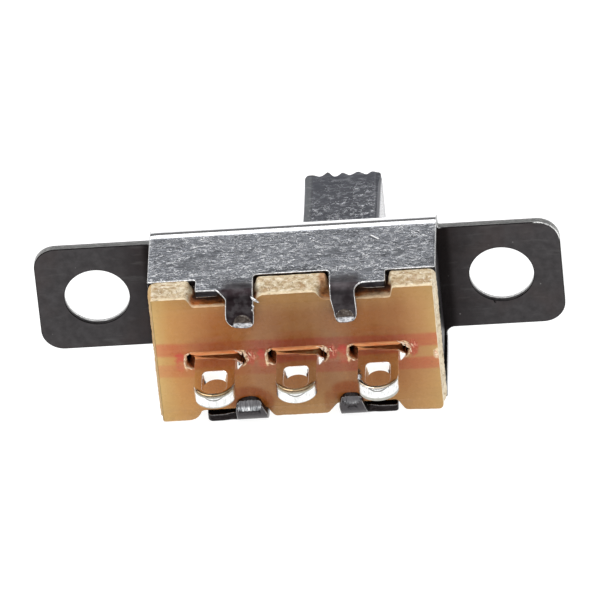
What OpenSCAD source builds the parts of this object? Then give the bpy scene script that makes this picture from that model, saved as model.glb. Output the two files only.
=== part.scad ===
// Miniature panel slide switch, single pole, two positions, three solder lugs.
// Axes: X along the travel of the handle, Y out of the panel face (handle side
// positive, lugs negative), Z across the body. The origin lies midway between
// the two mounting holes, in the outer face of the mounting plate.

/* [Mounting plate] */
// Overall length over the two ears
plate_l = 19.5; // [18.5:0.1:21]
// Width of the ears
ear_w = 4.5; // [4:0.1:5]
// Corner radius of the ears
ear_r = 0.85; // [0.3:0.05:1.5]
// Distance between the two mounting holes
hole_pitch = 15; // [14.6:0.1:15.4]
// Diameter of the mounting holes
hole_d = 2.4; // [2:0.05:2.8]
// Sheet thickness of the steel frame
sheet_t = 0.3; // [0.25:0.05:0.35]

/* [Body] */
// Length of the folded side walls
body_l = 10.6; // [10.2:0.05:11]
// Width over the two side walls
body_w = 5.9; // [5.84:0.02:6.4]
// Depth of the side walls from the plate face to the seat of the board
wall_d = 3.75; // [3.6:0.05:4]
// Length of the rounded fold, measured down the wall
fold_a = 1.05; // [0.6:0.05:1.2]
// Height of the rounded fold, measured across the plate
fold_b = 0.4; // [0.36:0.02:0.6]

/* [Handle slot] */
// Length of the slot that the handle runs in
slot_l = 6.3; // [6.2:0.05:6.6]
// Width of that slot
slot_w = 2.7; // [2.65:0.05:3]

/* [Crimp tabs] */
// Distance from the middle to the inner side of each tab
tab_x0 = 1.38; // [1.3:0.02:1.5]
// Width of each crimp tab
tab_w = 1.04; // [0.8:0.02:1.1]
// Distance from the middle to the far end of each locating shoulder
step_x1 = 3.52; // [3.2:0.02:3.6]
// Depth of the locating shoulders below the wall
step_h = 0.72; // [0.5:0.02:0.8]
// Outer radius of the bend of a tab
tab_bend = 0.62; // [0.5:0.02:0.62]
// Half distance between the tips of the upper tabs and the middle
tip_upper = 1.48; // [1.3:0.02:2.06]
// Half distance between the tips of the lower tabs and the middle
tip_lower = 1.88; // [1.3:0.02:2.06]

/* [Terminal board] */
// Thickness of the board
board_t = 0.86; // [0.7:0.02:1.1]
// Length of the board at its outer face
board_l = 10.38; // [10.1:0.02:10.5]
// Width of the board at its outer face
board_w = 5.46; // [5.3:0.02:5.7]
// How much wider the rough inner half of the punched edge stands, on each side
board_flare = 0.14; // [0.02:0.02:0.16]
// Depth of the notches that the tabs pass through
notch_h = 0.4; // [0.36:0.02:0.46]
// Distance from the middle to the near end of a notch
notch_x0 = 1.12; // [1:0.02:1.2]
// Distance from the middle to the far end of a notch
notch_x1 = 3.7; // [3.68:0.02:4]
// Length of the punched terminal slots
punch_l = 2.16; // [2.12:0.02:2.3]
// Width of the punched terminal slots
punch_w = 0.78; // [0.6:0.02:0.9]

/* [Terminals] */
// Distance from one terminal to the next
pin_pitch = 3; // [2.95:0.01:3.05]
// Width of a solder lug
pin_w = 1.53; // [1.4:0.01:1.6]
// Thickness of a solder lug
pin_t = 0.5; // [0.4:0.05:0.5]
// Length of a lug below the outer face of the board
pin_l = 2.58; // [2.3:0.02:3]
// Offset of the terminal row across the body
pin_z = -0.11; // [-0.15:0.01:0]
// Width of the solder eye
eye_w = 1; // [0.8:0.02:1.06]
// Length of the solder eye
eye_l = 1.3; // [1.1:0.05:1.4]

/* [Handle and carriage] */
// Length of the handle along the travel
knob_l = 2.8; // [2.6:0.02:2.9]
// Width of the handle across the travel
knob_w = 2.5; // [2.2:0.05:2.5]
// Height of the handle above the plate
knob_h = 5.1; // [4:0.1:6]
// Number of grip ridges on the end of the handle
ridges = 5; // [4:1:6]
// Depth of the grooves between the ridges
ridge_h = 0.22; // [0.1:0.02:0.3]
// Travel of the handle from one end to the other
travel = 3.2; // [2.9:0.05:3.25]
// Half length of the carriage inside the body
carriage_h = 3.6; // [3.4:0.05:3.65]

/* [Hidden] */

e = 0.01;
hb = body_l / 2;              // half length of the walls
hw = body_w / 2;              // outer face of a wall
hz = hw - fold_b;             // flat half width of the plate over the body
board_y = -wall_d;            // inner face of the board
face_y = -wall_d - board_t;   // outer face of the board
tip_y = face_y - pin_l;       // tips of the lugs
knob_x = travel / 2;          // the handle stands at its +X end stop
run = 0.05;                   // running gap of the carriage
roof_y = -0.95;               // roof of the contact pocket
skirt_y = -2.1;               // lower face of the carriage
clip_t = 0.15;                // strip thickness of the moving contact
clip_gap = 0.03;              // gap between contact and blade, each side

// Extrudes a flat outline in X and Z, from y down by h.
module in_xz(y, h) translate([0, y, 0]) rotate([90, 0, 0]) linear_extrude(h) children();
// Extrudes a flat outline in Y and Z along X, centred on x.
module in_yz(x, l) translate([x - l / 2, 0, 0]) rotate([90, 0, 90]) linear_extrude(l) children();
// Extrudes a flat outline in X and Y upward from z.
module in_xy(z, h) translate([0, 0, z]) linear_extrude(h) children();

module bar(x0, x1, y0, y1) translate([x0, y0]) square([x1 - x0, y1 - y0]);

module round_bar(l, w, r) {
    bar(-l / 2, l / 2, -w / 2 + r, w / 2 - r);
    bar(-l / 2 + r, l / 2 - r, -w / 2, w / 2);
    for (sx = [-1, 1], sy = [-1, 1])
        translate([sx * (l / 2 - r), sy * (w / 2 - r)]) circle(r, $fn = 48);
}

// Concave corner filler: a square corner with a round bite out of it.
module fillet(r) difference() {
    translate([-e, -e]) square(r + e);
    translate([r, r]) circle(r, $fn = 32);
}

// Section of one side wall with its rounded fold into the plate.
function arc_pts(cy, cz, a, b, t0, t1, n) =
    [for (i = [0:n]) let (t = t0 + (t1 - t0) * i / n) [cy + a * cos(t), cz + b * sin(t)]];

module wall_section() polygon(concat(
    [[-wall_d, hw]],
    arc_pts(-fold_a, hz, fold_a, fold_b, 90, 0, 9),
    [[0, hz - 0.2], [-sheet_t, hz - 0.2]],
    arc_pts(-fold_a, hz, fold_a - sheet_t, fold_b - sheet_t, 0, 90, 9),
    [[-wall_d, hw - sheet_t]]));

// Flat outline of the plate: two ears and the wider part over the body.
module plate_outline() {
    round_bar(plate_l, ear_w, ear_r);
    bar(-hb, hb, -hz, hz);
    for (sx = [-1, 1], sy = [-1, 1]) scale([sx, sy]) {
        translate([hb, ear_w / 2]) fillet(0.28);
    }
}

// Straight part of a shoulder and its tab, in the plane of the wall.
module shoulder_outline() {
    x1 = tab_x0 + tab_w;
    cy = face_y - sheet_t + tab_bend;
    polygon([[tab_x0, -wall_d + 0.05], [step_x1, -wall_d + 0.05],
             [step_x1, -wall_d - step_h + 0.1], [step_x1 - 0.1, -wall_d - step_h],
             [x1 + 0.16, -wall_d - step_h], [x1, -wall_d - step_h + 0.1],
             [x1, cy - e], [tab_x0, cy - e]]);
    translate([tab_x0, -wall_d]) scale([-1, -1]) fillet(0.15);
    translate([step_x1, -wall_d]) scale([1, -1]) fillet(0.1);
}

// Bent part of a tab, folded over the outer face of the board.
module tab_bend_section(tip) {
    cy = face_y - sheet_t + tab_bend;
    cz = hw - tab_bend;
    intersection() {
        translate([cy, cz]) difference() {
            circle(tab_bend, $fn = 48);
            circle(tab_bend - sheet_t, $fn = 48);
        }
        bar(cy - 1, cy, cz, cz + 1);
    }
    polygon([[face_y, cz + e], [face_y, tip], [face_y - 0.16, tip],
             [face_y - sheet_t, min(tip + 0.5, cz - 0.02)], [face_y - sheet_t, cz + e]]);
}

// Outline of a tab seen square to the board: it narrows to a rounded tip.
module tab_outline(tip) {
    h = tab_w / 2;
    r = 0.26;
    polygon([[-h, hw + 0.1], [-h, hw - tab_bend], [-h + 0.09, tip + r], [-h + 0.09 + r * 0.3, tip + r * 0.3],
             [-h + 0.09 + r, tip], [h - 0.09 - r, tip], [h - 0.09 - r * 0.3, tip + r * 0.3],
             [h - 0.09, tip + r], [h, hw - tab_bend], [h, hw + 0.1]]);
}

module side(tip) {
    in_yz(0, body_l) wall_section();
    for (s = [-1, 1]) {
        in_xy(hw - sheet_t, sheet_t) scale([s, 1]) shoulder_outline();
        intersection() {
            in_yz(s * (tab_x0 + tab_w / 2), tab_w) tab_bend_section(tip);
            in_xz(board_y, 2) translate([s * (tab_x0 + tab_w / 2), 0]) tab_outline(tip);
        }
    }
}

module frame() color([0.42, 0.42, 0.43]) {
    difference() {
        union() {
            in_xz(0, sheet_t) plate_outline();
            side(tip_upper);
            mirror([0, 0, 1]) side(tip_lower);
        }
        for (s = [-1, 1]) translate([s * hole_pitch / 2, 1, 0]) rotate([90, 0, 0])
            cylinder(h = 2, d = hole_d, $fn = 64);
        in_xz(0.5, 1) round_bar(slot_l, slot_w, 0.35);
    }
}

// Half outline of the board's edge with its two notches, mirrored by the caller.
module board_half(l, w, g) polygon([
    [0, 0], [l / 2, 0], [l / 2, w / 2 - 0.12], [l / 2 - 0.12, w / 2],
    [notch_x1 + 0.14 - g, w / 2], [notch_x1 - 0.05 - g, w / 2 - notch_h + g + 0.06],
    [notch_x1 - 0.15 - g, w / 2 - notch_h + g],
    [notch_x0 + 0.22 + g, w / 2 - notch_h + g], [notch_x0 - 0.14 + g, w / 2],
    [0, w / 2]]);

module board_outline(l, w, g) for (sx = [0, 1], sz = [0, 1])
    mirror([sx, 0]) mirror([0, sz]) board_half(l, w, g);

module terminal_board() color([0.78, 0.58, 0.33]) difference() {
    union() {
        in_xz(board_y, board_t / 2 + e)
            board_outline(board_l + 1.4 * board_flare, board_w + 2 * board_flare, board_flare * 0.6);
        in_xz(board_y - board_t / 2, board_t / 2) board_outline(board_l, board_w, 0);
    }
    for (k = [-1:1]) in_xz(board_y + 0.5, board_t + 1)
        translate([k * pin_pitch, pin_z]) round_bar(punch_l, punch_w, 0.16);
}

// Outline of a terminal in X and Y: solder lug below, shoulders in the board,
// a seat on the board's inner face, and the contact blade above.
module blade() in_xy(pin_z - pin_t / 2, pin_t) children();
module terminal(k) {
    h = pin_w / 2;
    translate([k * pin_pitch, 0, 0]) difference() {
        union() {
            blade() bar(-h, h, tip_y + h, board_y);
            blade() translate([0, tip_y + h]) circle(h, $fn = 64);
            blade() polygon([[-h, face_y - 0.3], [-h - 0.14, face_y - 0.12], [-1.05, face_y + 0.12],
                [-1.05, board_y + 0.1], [1.05, board_y + 0.1], [1.05, face_y + 0.1],
                [h + 0.24, face_y - 0.25], [h, face_y - 0.45]]);
            blade() bar(-1.25, 1.25, board_y, board_y + 0.3);
            blade() polygon([[-0.95, board_y + 0.1], [0.95, board_y + 0.1], [0.95, -1.95],
                [0.88, -1.77], [0.7, -1.7], [-0.7, -1.7], [-0.88, -1.77], [-0.95, -1.95]]);
        }
        // solder eye
        in_xy(pin_z - 1, 2) translate([0, tip_y + 0.25 + eye_l / 2]) {
            bar(-eye_w / 2, eye_w / 2, -eye_l / 2 + 0.42, eye_l / 2 - 0.28);
            bar(-eye_w / 2 + 0.28, eye_w / 2 - 0.28, 0, eye_l / 2);
            bar(-eye_w / 2 + 0.42, eye_w / 2 - 0.42, -eye_l / 2, 0);
            for (s = [-1, 1]) {
                translate([s * (eye_w / 2 - 0.28), eye_l / 2 - 0.28]) circle(0.28, $fn = 32);
                translate([s * (eye_w / 2 - 0.42), -eye_l / 2 + 0.42]) circle(0.42, $fn = 32);
            }
        }
    }
}
module terminal_left() color([0.86, 0.86, 0.87]) terminal(-1);
module terminal_common() color([0.86, 0.86, 0.87]) terminal(0);
module terminal_right() color([0.86, 0.86, 0.87]) terminal(1);

// End profile of the handle: rounded ridges that follow a cosine.
function ridge_y(u) = knob_h - ridge_h * (0.5 + 0.5 * cos(360 * ridges * u));
module handle_outline() {
    n = ridges * 12;
    polygon(concat(
        [[-knob_l / 2, -0.5], [knob_l / 2, -0.5]],
        [for (i = [n:-1:0]) let (u = i / n)
            [(u - 0.5) * knob_l, i == 0 || i == n ? knob_h - ridge_h - 0.1 : ridge_y(u)]]));
}

module slider() color([0.33, 0.33, 0.35]) translate([knob_x, 0, 0]) {
    in_xy(-knob_w / 2, knob_w) handle_outline();
    difference() {
        // carriage that runs under the plate
        in_xz(-sheet_t - run, -skirt_y - sheet_t - run)
            round_bar(2 * carriage_h, body_w - 2 * sheet_t - 0.3, 0.25);
        // pocket of the moving contact
        in_xz(roof_y, 3) translate([0, pin_z]) square([4.9, 1.4], center = true);
        // channel for the contact blades
        in_xz(-1.5, 3) translate([0, pin_z]) square([20, 0.9], center = true);
    }
}

// Section of the moving contact: a flat back and two legs that pinch the blade.
module clip_half() {
    g = pin_t / 2 + clip_gap;
    polygon([[roof_y, 0], [roof_y, 0.55], [roof_y - 0.08, 0.62], [roof_y - 0.2, 0.64],
             [-2.75, g + clip_t], [-3.2, 0.62], [-3.27, 0.5], [-2.75, g],
             [roof_y - 0.3, 0.64 - clip_t], [roof_y - clip_t, 0.5 - clip_t / 2],
             [roof_y - clip_t, 0]]);
}
module contact_clip() color([0.83, 0.62, 0.36]) translate([knob_x, 0, pin_z]) {
    for (m = [0, 1]) mirror([0, 0, m])
        for (s = [-1, 1]) in_yz(s * pin_pitch / 2, 1.5) clip_half();
    in_xz(roof_y, clip_t) square([4.5, 1.0], center = true);
}

frame();
slider();
contact_clip();
terminal_board();
terminal_left();
terminal_common();
terminal_right();
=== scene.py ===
import math

import bmesh
import bpy
import numpy as np
from mathutils import Matrix, Vector, noise
from mathutils.geometry import tessellate_polygon


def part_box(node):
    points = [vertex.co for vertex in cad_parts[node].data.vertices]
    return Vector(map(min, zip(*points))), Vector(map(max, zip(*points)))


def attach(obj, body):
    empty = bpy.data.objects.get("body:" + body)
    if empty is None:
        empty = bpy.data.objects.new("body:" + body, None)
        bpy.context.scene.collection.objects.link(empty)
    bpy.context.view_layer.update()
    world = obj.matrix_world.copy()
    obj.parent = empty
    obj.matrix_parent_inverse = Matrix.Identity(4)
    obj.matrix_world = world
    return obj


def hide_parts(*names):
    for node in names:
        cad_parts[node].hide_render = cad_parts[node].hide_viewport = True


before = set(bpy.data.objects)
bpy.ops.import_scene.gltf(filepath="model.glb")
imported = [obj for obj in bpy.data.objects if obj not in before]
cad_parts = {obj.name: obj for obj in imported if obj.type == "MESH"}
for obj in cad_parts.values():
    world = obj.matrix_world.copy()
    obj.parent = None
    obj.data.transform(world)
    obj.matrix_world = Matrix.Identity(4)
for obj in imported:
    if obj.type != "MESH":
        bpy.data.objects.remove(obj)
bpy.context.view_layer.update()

MM = 0.001
pi = math.pi

# ---------------------------------------------------------------- sizes, in mm, from the CAD boxes


def box_mm(node):
    lo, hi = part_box(node)
    return np.array(lo) / MM, np.array(hi) / MM


F0, F1 = box_mm("frame")
B0, B1 = box_mm("terminal_board")
S0, S1 = box_mm("slider")
L0, L1 = box_mm("terminal_left")
C0, C1 = box_mm("terminal_common")

T = 0.3                                   # sheet
EAR_X, EAR_Z = F1[0], 2.25                # ears
HB = 5.3                                  # half length of the folded walls
HW = F1[2]                                # outer face of a wall
FA, FB = 1.05, 0.4                        # fold
HZ = HW - FB
WALL = 3.75                               # depth of the walls
BOARD_Y, FACE_Y = B1[1], B0[1]
TIP_Y = L0[1]
PITCH = C0[0] - L0[0]
PIN_Z = (L0[2] + L1[2]) / 2
KNOB_Y = S1[1]
KNOB_X = (S0[0] + S1[0]) / 2
SKIRT_Y = S0[1]
FLOOR_Z = F0[2]

# ---------------------------------------------------------------- colour and node helpers


def lin(c):
    return c / 12.92 if c <= 0.04045 else ((c + 0.055) / 1.055) ** 2.4


def rgb(r, g, b, k=1.0):
    return (lin(r / 255) * k, lin(g / 255) * k, lin(b / 255) * k, 1.0)


def pig(r, g, b, sheen=0.026):
    """Body colour of a glossy surface that should look r, g, b once its gloss is added."""
    return tuple(max(0.003, lin(v / 255) - sheen) for v in (r, g, b)) + (1.0,)


class Shade:
    """A Principled material with helpers that work in millimetres of the row frame."""

    def __init__(self, name, **fixed):
        self.mat = bpy.data.materials.new(name)
        self.mat.use_nodes = True
        self.nt = self.mat.node_tree
        self.nt.nodes.clear()
        out = self.nt.nodes.new("ShaderNodeOutputMaterial")
        self.bsdf = self.nt.nodes.new("ShaderNodeBsdfPrincipled")
        self.nt.links.new(self.bsdf.outputs[0], out.inputs[0])
        for k, v in fixed.items():
            self.bsdf.inputs[k.replace("_", " ")].default_value = v
        tc = self.nt.nodes.new("ShaderNodeTexCoord")
        self.p = self.vmul(tc.outputs["Object"], (1000.0, 1000.0, 1000.0))
        self.x, self.y, self.z = self.split(self.p)
        self.nx, self.ny, self.nz = self.split(tc.outputs["Normal"])

    def put(self, sock, v):
        if isinstance(v, bpy.types.NodeSocket):
            self.nt.links.new(v, sock)
        else:
            sock.default_value = v

    def vmul(self, v, k):
        n = self.nt.nodes.new("ShaderNodeVectorMath")
        n.operation = "MULTIPLY"
        self.put(n.inputs[0], v)
        n.inputs[1].default_value = k
        return n.outputs[0]

    def vadd(self, v, k):
        n = self.nt.nodes.new("ShaderNodeVectorMath")
        n.operation = "ADD"
        self.put(n.inputs[0], v)
        self.put(n.inputs[1], k)
        return n.outputs[0]

    def split(self, v):
        n = self.nt.nodes.new("ShaderNodeSeparateXYZ")
        self.nt.links.new(v, n.inputs[0])
        return n.outputs[0], n.outputs[1], n.outputs[2]

    def m(self, op, a, b=0.0, c=0.0, clamp=False):
        n = self.nt.nodes.new("ShaderNodeMath")
        n.operation = op
        n.use_clamp = clamp
        self.put(n.inputs[0], a)
        self.put(n.inputs[1], b)
        if op in ("MULTIPLY_ADD", "SMOOTH_MIN", "SMOOTH_MAX", "COMPARE", "WRAP"):
            self.put(n.inputs[2], c)
        return n.outputs[0]

    def add(self, a, b): return self.m("ADD", a, b)
    def sub(self, a, b): return self.m("SUBTRACT", a, b)
    def mul(self, a, b): return self.m("MULTIPLY", a, b)
    def mx(self, a, b): return self.m("MAXIMUM", a, b)
    def mn(self, a, b): return self.m("MINIMUM", a, b)
    def inv(self, a): return self.m("SUBTRACT", 1.0, a)
    def abs(self, a): return self.m("ABSOLUTE", a)

    def step(self, v, a, b, lo=0.0, hi=1.0, smooth=True):
        """lo where v is at a, hi where v is at b."""
        n = self.nt.nodes.new("ShaderNodeMapRange")
        n.interpolation_type = "SMOOTHSTEP" if smooth else "LINEAR"
        n.clamp = True
        self.put(n.inputs["Value"], v)
        n.inputs["From Min"].default_value = a
        n.inputs["From Max"].default_value = b
        n.inputs["To Min"].default_value = lo
        n.inputs["To Max"].default_value = hi
        return n.outputs["Result"]

    def noise(self, scale, detail=2.0, rough=0.5, offset=(0, 0, 0), dist=0.0, vec=None):
        v = self.vmul(self.p if vec is None else vec, scale if isinstance(scale, tuple) else (scale,) * 3)
        if any(offset):
            v = self.vadd(v, offset)
        n = self.nt.nodes.new("ShaderNodeTexNoise")
        n.noise_dimensions = "3D"
        self.nt.links.new(v, n.inputs["Vector"])
        n.inputs["Scale"].default_value = 1.0
        n.inputs["Detail"].default_value = detail
        n.inputs["Roughness"].default_value = rough
        n.inputs["Distortion"].default_value = dist
        return n.outputs["Fac"]

    def cells(self, scale, offset=(0, 0, 0), feature="F1", vec=None):
        v = self.vmul(self.p if vec is None else vec, scale if isinstance(scale, tuple) else (scale,) * 3)
        if any(offset):
            v = self.vadd(v, offset)
        n = self.nt.nodes.new("ShaderNodeTexVoronoi")
        n.feature = feature
        self.nt.links.new(v, n.inputs["Vector"])
        n.inputs["Scale"].default_value = 1.0
        return n.outputs["Distance"], n.outputs["Color"]

    def mix(self, f, a, b, mode="MIX"):
        n = self.nt.nodes.new("ShaderNodeMix")
        n.data_type = "RGBA"
        n.blend_type = mode
        self.put(n.inputs[0], f)
        self.put(n.inputs[6], a)
        self.put(n.inputs[7], b)
        return n.outputs[2]

    def ramp(self, v, stops, interp="LINEAR"):
        n = self.nt.nodes.new("ShaderNodeValToRGB")
        n.color_ramp.interpolation = interp
        e = n.color_ramp.elements
        e[0].position, e[0].color = stops[0]
        e[1].position, e[1].color = stops[-1]
        for pos, col in stops[1:-1]:
            x = e.new(pos)
            x.color = col
        self.nt.links.new(v, n.inputs[0])
        return n.outputs[0]

    def blob(self, cx, cz, rx, rz, wob=None):
        """1 inside an ellipse in X and Z that fades to 0 outside it."""
        dx = self.mul(self.sub(self.x, cx), 1 / rx)
        dz = self.mul(self.sub(self.z, cz), 1 / rz)
        d = self.m("SQRT", self.add(self.mul(dx, dx), self.mul(dz, dz)))
        if wob is not None:
            d = self.add(d, wob)
        return self.step(d, 1.35, 0.65)

    def bump(self, height, dist_mm, normal=None, strength=1.0):
        n = self.nt.nodes.new("ShaderNodeBump")
        n.inputs["Strength"].default_value = strength
        n.inputs["Distance"].default_value = dist_mm * MM
        self.nt.links.new(height, n.inputs["Height"])
        if normal is not None:
            self.nt.links.new(normal, n.inputs["Normal"])
        return n.outputs[0]

    def finish(self, color=None, rough=None, normal=None, **links):
        for key, v in (("Base Color", color), ("Roughness", rough), ("Normal", normal)):
            if v is not None:
                self.put(self.bsdf.inputs[key], v)
        for k, v in links.items():
            self.put(self.bsdf.inputs[k.replace("_", " ")], v)
        return self.mat


# ---------------------------------------------------------------- mesh helpers


def ring_solid(loops, h0, h1, r0=0.03, r1=0.03, seg=3, radii=None, mid=()):
    """A flat plate with rounded rims from closed loops that keep the material on their left.
    Returns points (x, s, h), faces, and each face's kind: 0 flat at h0, 1 side, 2 rim at h0,
    3 flat at h1, 4 rim at h1, 5 and up as given for the extra side rings in mid."""
    V, Fc, K = [], [], []
    caps = {0: [], 1: []}
    quarter = np.linspace(0, pi / 2, seg + 1)
    for li, pts in enumerate(loops):
        P = np.asarray(pts, float)
        n = len(P)
        e = np.roll(P, -1, 0) - P
        e /= np.linalg.norm(e, axis=1)[:, None]
        n2 = np.stack([-e[:, 1], e[:, 0]], 1)
        n1 = np.roll(n2, 1, 0)
        m = (n1 + n2) / np.maximum(1 + (n1 * n2).sum(1), 0.35)[:, None]
        ra = np.broadcast_to(np.asarray(r0[li] if isinstance(r0, (list, tuple)) else r0, float), (n,))
        rb = np.broadcast_to(np.asarray(r1[li] if isinstance(r1, (list, tuple)) else r1, float), (n,))
        if radii is not None:
            ra, rb = ra * np.asarray(radii[li]), rb * np.asarray(radii[li])
        rings = [(ra * (1 - math.sin(a)), h0 + ra * (1 - math.cos(a)), 2) for a in quarter]
        for h, off, kind in mid:
            rings.append((np.full(n, off), np.full(n, h), kind))
        rings += [(rb * (1 - math.sin(a)), h1 - rb * (1 - math.cos(a)), 4) for a in quarter[::-1]]
        start = len(V)
        for off, h, kind in rings:
            q = P + m * np.asarray(off)[:, None]
            V.extend([(a, b, c) for (a, b), c in zip(q, np.broadcast_to(h, (n,)))])
        for k in range(len(rings) - 1):
            kind = rings[k][2]
            if k == seg:
                kind = 1
            elif k > seg and rings[k][2] == 4:
                kind = 4
            for i in range(n):
                j = (i + 1) % n
                a = start + k * n
                Fc.append((a + i, a + j, a + n + j, a + n + i))
                K.append(kind)
        caps[0].append(list(range(start, start + n)))
        caps[1].append(list(range(start + (len(rings) - 1) * n, start + len(rings) * n)))
    V = np.array(V)
    for side in (0, 1):
        idx = [i for loop in caps[side] for i in loop]
        polys = [[Vector((V[i][0], V[i][1], 0)) for i in loop] for loop in caps[side]]
        for t in tessellate_polygon(polys):
            a, b, c = (idx[i] for i in t)
            area = np.cross(V[b][:2] - V[a][:2], V[c][:2] - V[a][:2])
            if abs(area) < 1e-10:
                continue
            if (area > 0) != (side == 1):
                b, c = c, b
            Fc.append((a, b, c))
            K.append(3 if side else 0)
    return V, Fc, K


def spike(bm, pts, radii, mat, sides=6, flat=1.0, wob=0.0):
    """A closed sliver along pts, pointed at both ends, flattened in its second direction by flat."""
    P = [Vector(p) for p in pts]
    up0 = Vector((0.1, -1.0, 0.15)).normalized()
    rings = []
    for i, p in enumerate(P):
        d = (P[min(i + 1, len(P) - 1)] - P[max(i - 1, 0)]).normalized()
        a = d.cross(up0).normalized()
        b = d.cross(a).normalized()
        if radii[i] < 1e-6:
            rings.append([bm.verts.new(p)])
            continue
        ring = []
        for k in range(sides):
            t = 2 * pi * k / sides
            r = radii[i] * (1 + wob * noise.noise(p * 9 + Vector((k, 0, 0))))
            ring.append(bm.verts.new(p + a * (r * math.cos(t)) + b * (r * flat * math.sin(t))))
        rings.append(ring)
    for A, B in zip(rings[:-1], rings[1:]):
        for k in range(sides):
            q = [A[k % len(A)], A[(k + 1) % len(A)], B[(k + 1) % len(B)], B[k % len(B)]]
            u = []
            for v in q:
                if v not in u:
                    u.append(v)
            if len(u) > 2:
                f = bm.faces.new(u)
                f.material_index, f.smooth = mat, True


def smooth_path(P, k=4):
    """Catmull-Rom points through an open list of points."""
    P = [np.array(p, float) for p in P]
    Q = [2 * P[0] - P[1]] + P + [2 * P[-1] - P[-2]]
    out = []
    for i in range(1, len(Q) - 2):
        a, b, c, d = Q[i - 1:i + 3]
        for t in np.linspace(0, 1, k, endpoint=False):
            out.append(tuple(0.5 * (2 * b + (c - a) * t + (2 * a - 5 * b + 4 * c - d) * t * t + (3 * b - a - 3 * c + d) * t ** 3)))
    out.append(tuple(P[-1]))
    return out


def sm(t):
    t = min(1.0, max(0.0, t))
    return t * t * (3 - 2 * t)


def to_bmesh(V, Fc, K):
    bm = bmesh.new()
    vs = [bm.verts.new(v) for v in V]
    for f, k in zip(Fc, K):
        try:
            bf = bm.faces.new([vs[i] for i in f])
        except ValueError:
            continue
        bf.material_index = k
        bf.smooth = True
    bmesh.ops.remove_doubles(bm, verts=bm.verts, dist=1e-5)
    return bm


def slice_bm(bm, axis, values):
    for v in values:
        co = [0, 0, 0]
        no = [0, 0, 0]
        co[axis], no[axis] = v, 1
        bmesh.ops.bisect_plane(bm, geom=bm.verts[:] + bm.edges[:] + bm.faces[:], dist=1e-6, plane_co=co, plane_no=no)


def piece(name, bm, mats, body, weighted=True, sharp=None):
    """A finished piece from a bmesh in millimetres."""
    bmesh.ops.scale(bm, vec=(MM, MM, MM), verts=bm.verts)
    me = bpy.data.meshes.new(name)
    bm.to_mesh(me)
    bm.free()
    for mt in mats:
        me.materials.append(mt)
    ob = bpy.data.objects.new(name, me)
    bpy.context.scene.collection.objects.link(ob)
    if sharp:
        me.set_sharp_from_angle(angle=math.radians(sharp))
    if weighted:
        w = ob.modifiers.new("even_shading", "WEIGHTED_NORMAL")
        w.keep_sharp = True
        w.weight = 60
        w.mode = "FACE_AREA"
    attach(ob, body)
    return ob


def arc(cx, cy, rx, a0, a1, n, ry=None):
    ry = rx if ry is None else ry
    return [(cx + rx * math.cos(math.radians(a)), cy + ry * math.sin(math.radians(a))) for a in np.linspace(a0, a1, n)]


def clean(pts, eps=1e-4):
    out = []
    for q in pts:
        if not out or math.dist(q, out[-1]) > eps:
            out.append(q)
    if math.dist(out[0], out[-1]) < eps:
        out.pop()
    return out


def circle(cx, cy, r, n, cw=False):
    a = np.linspace(0, 2 * pi, n, endpoint=False)
    if cw:
        a = a[::-1]
    return [(cx + r * math.cos(t), cy + r * math.sin(t)) for t in a]


def rounded(cx, cy, l, w, r, n=8, cw=False):
    p = []
    for sx, sy, a in ((1, 1, 0), (-1, 1, 90), (-1, -1, 180), (1, -1, 270)):
        p += arc(cx + sx * (l / 2 - r), cy + sy * (w / 2 - r), r, a, a + 90, n)
    p = clean(p)
    return p[::-1] if cw else p


def fbm(x, y, z, octaves=3):
    v, a = 0.0, 1.0
    for _ in range(octaves):
        v += a * noise.noise(Vector((x, y, z)))
        x, y, z, a = x * 2.03 + 3.1, y * 2.03 - 1.7, z * 2.03 + 5.3, a * 0.5
    return v


# ---------------------------------------------------------------- materials


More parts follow.
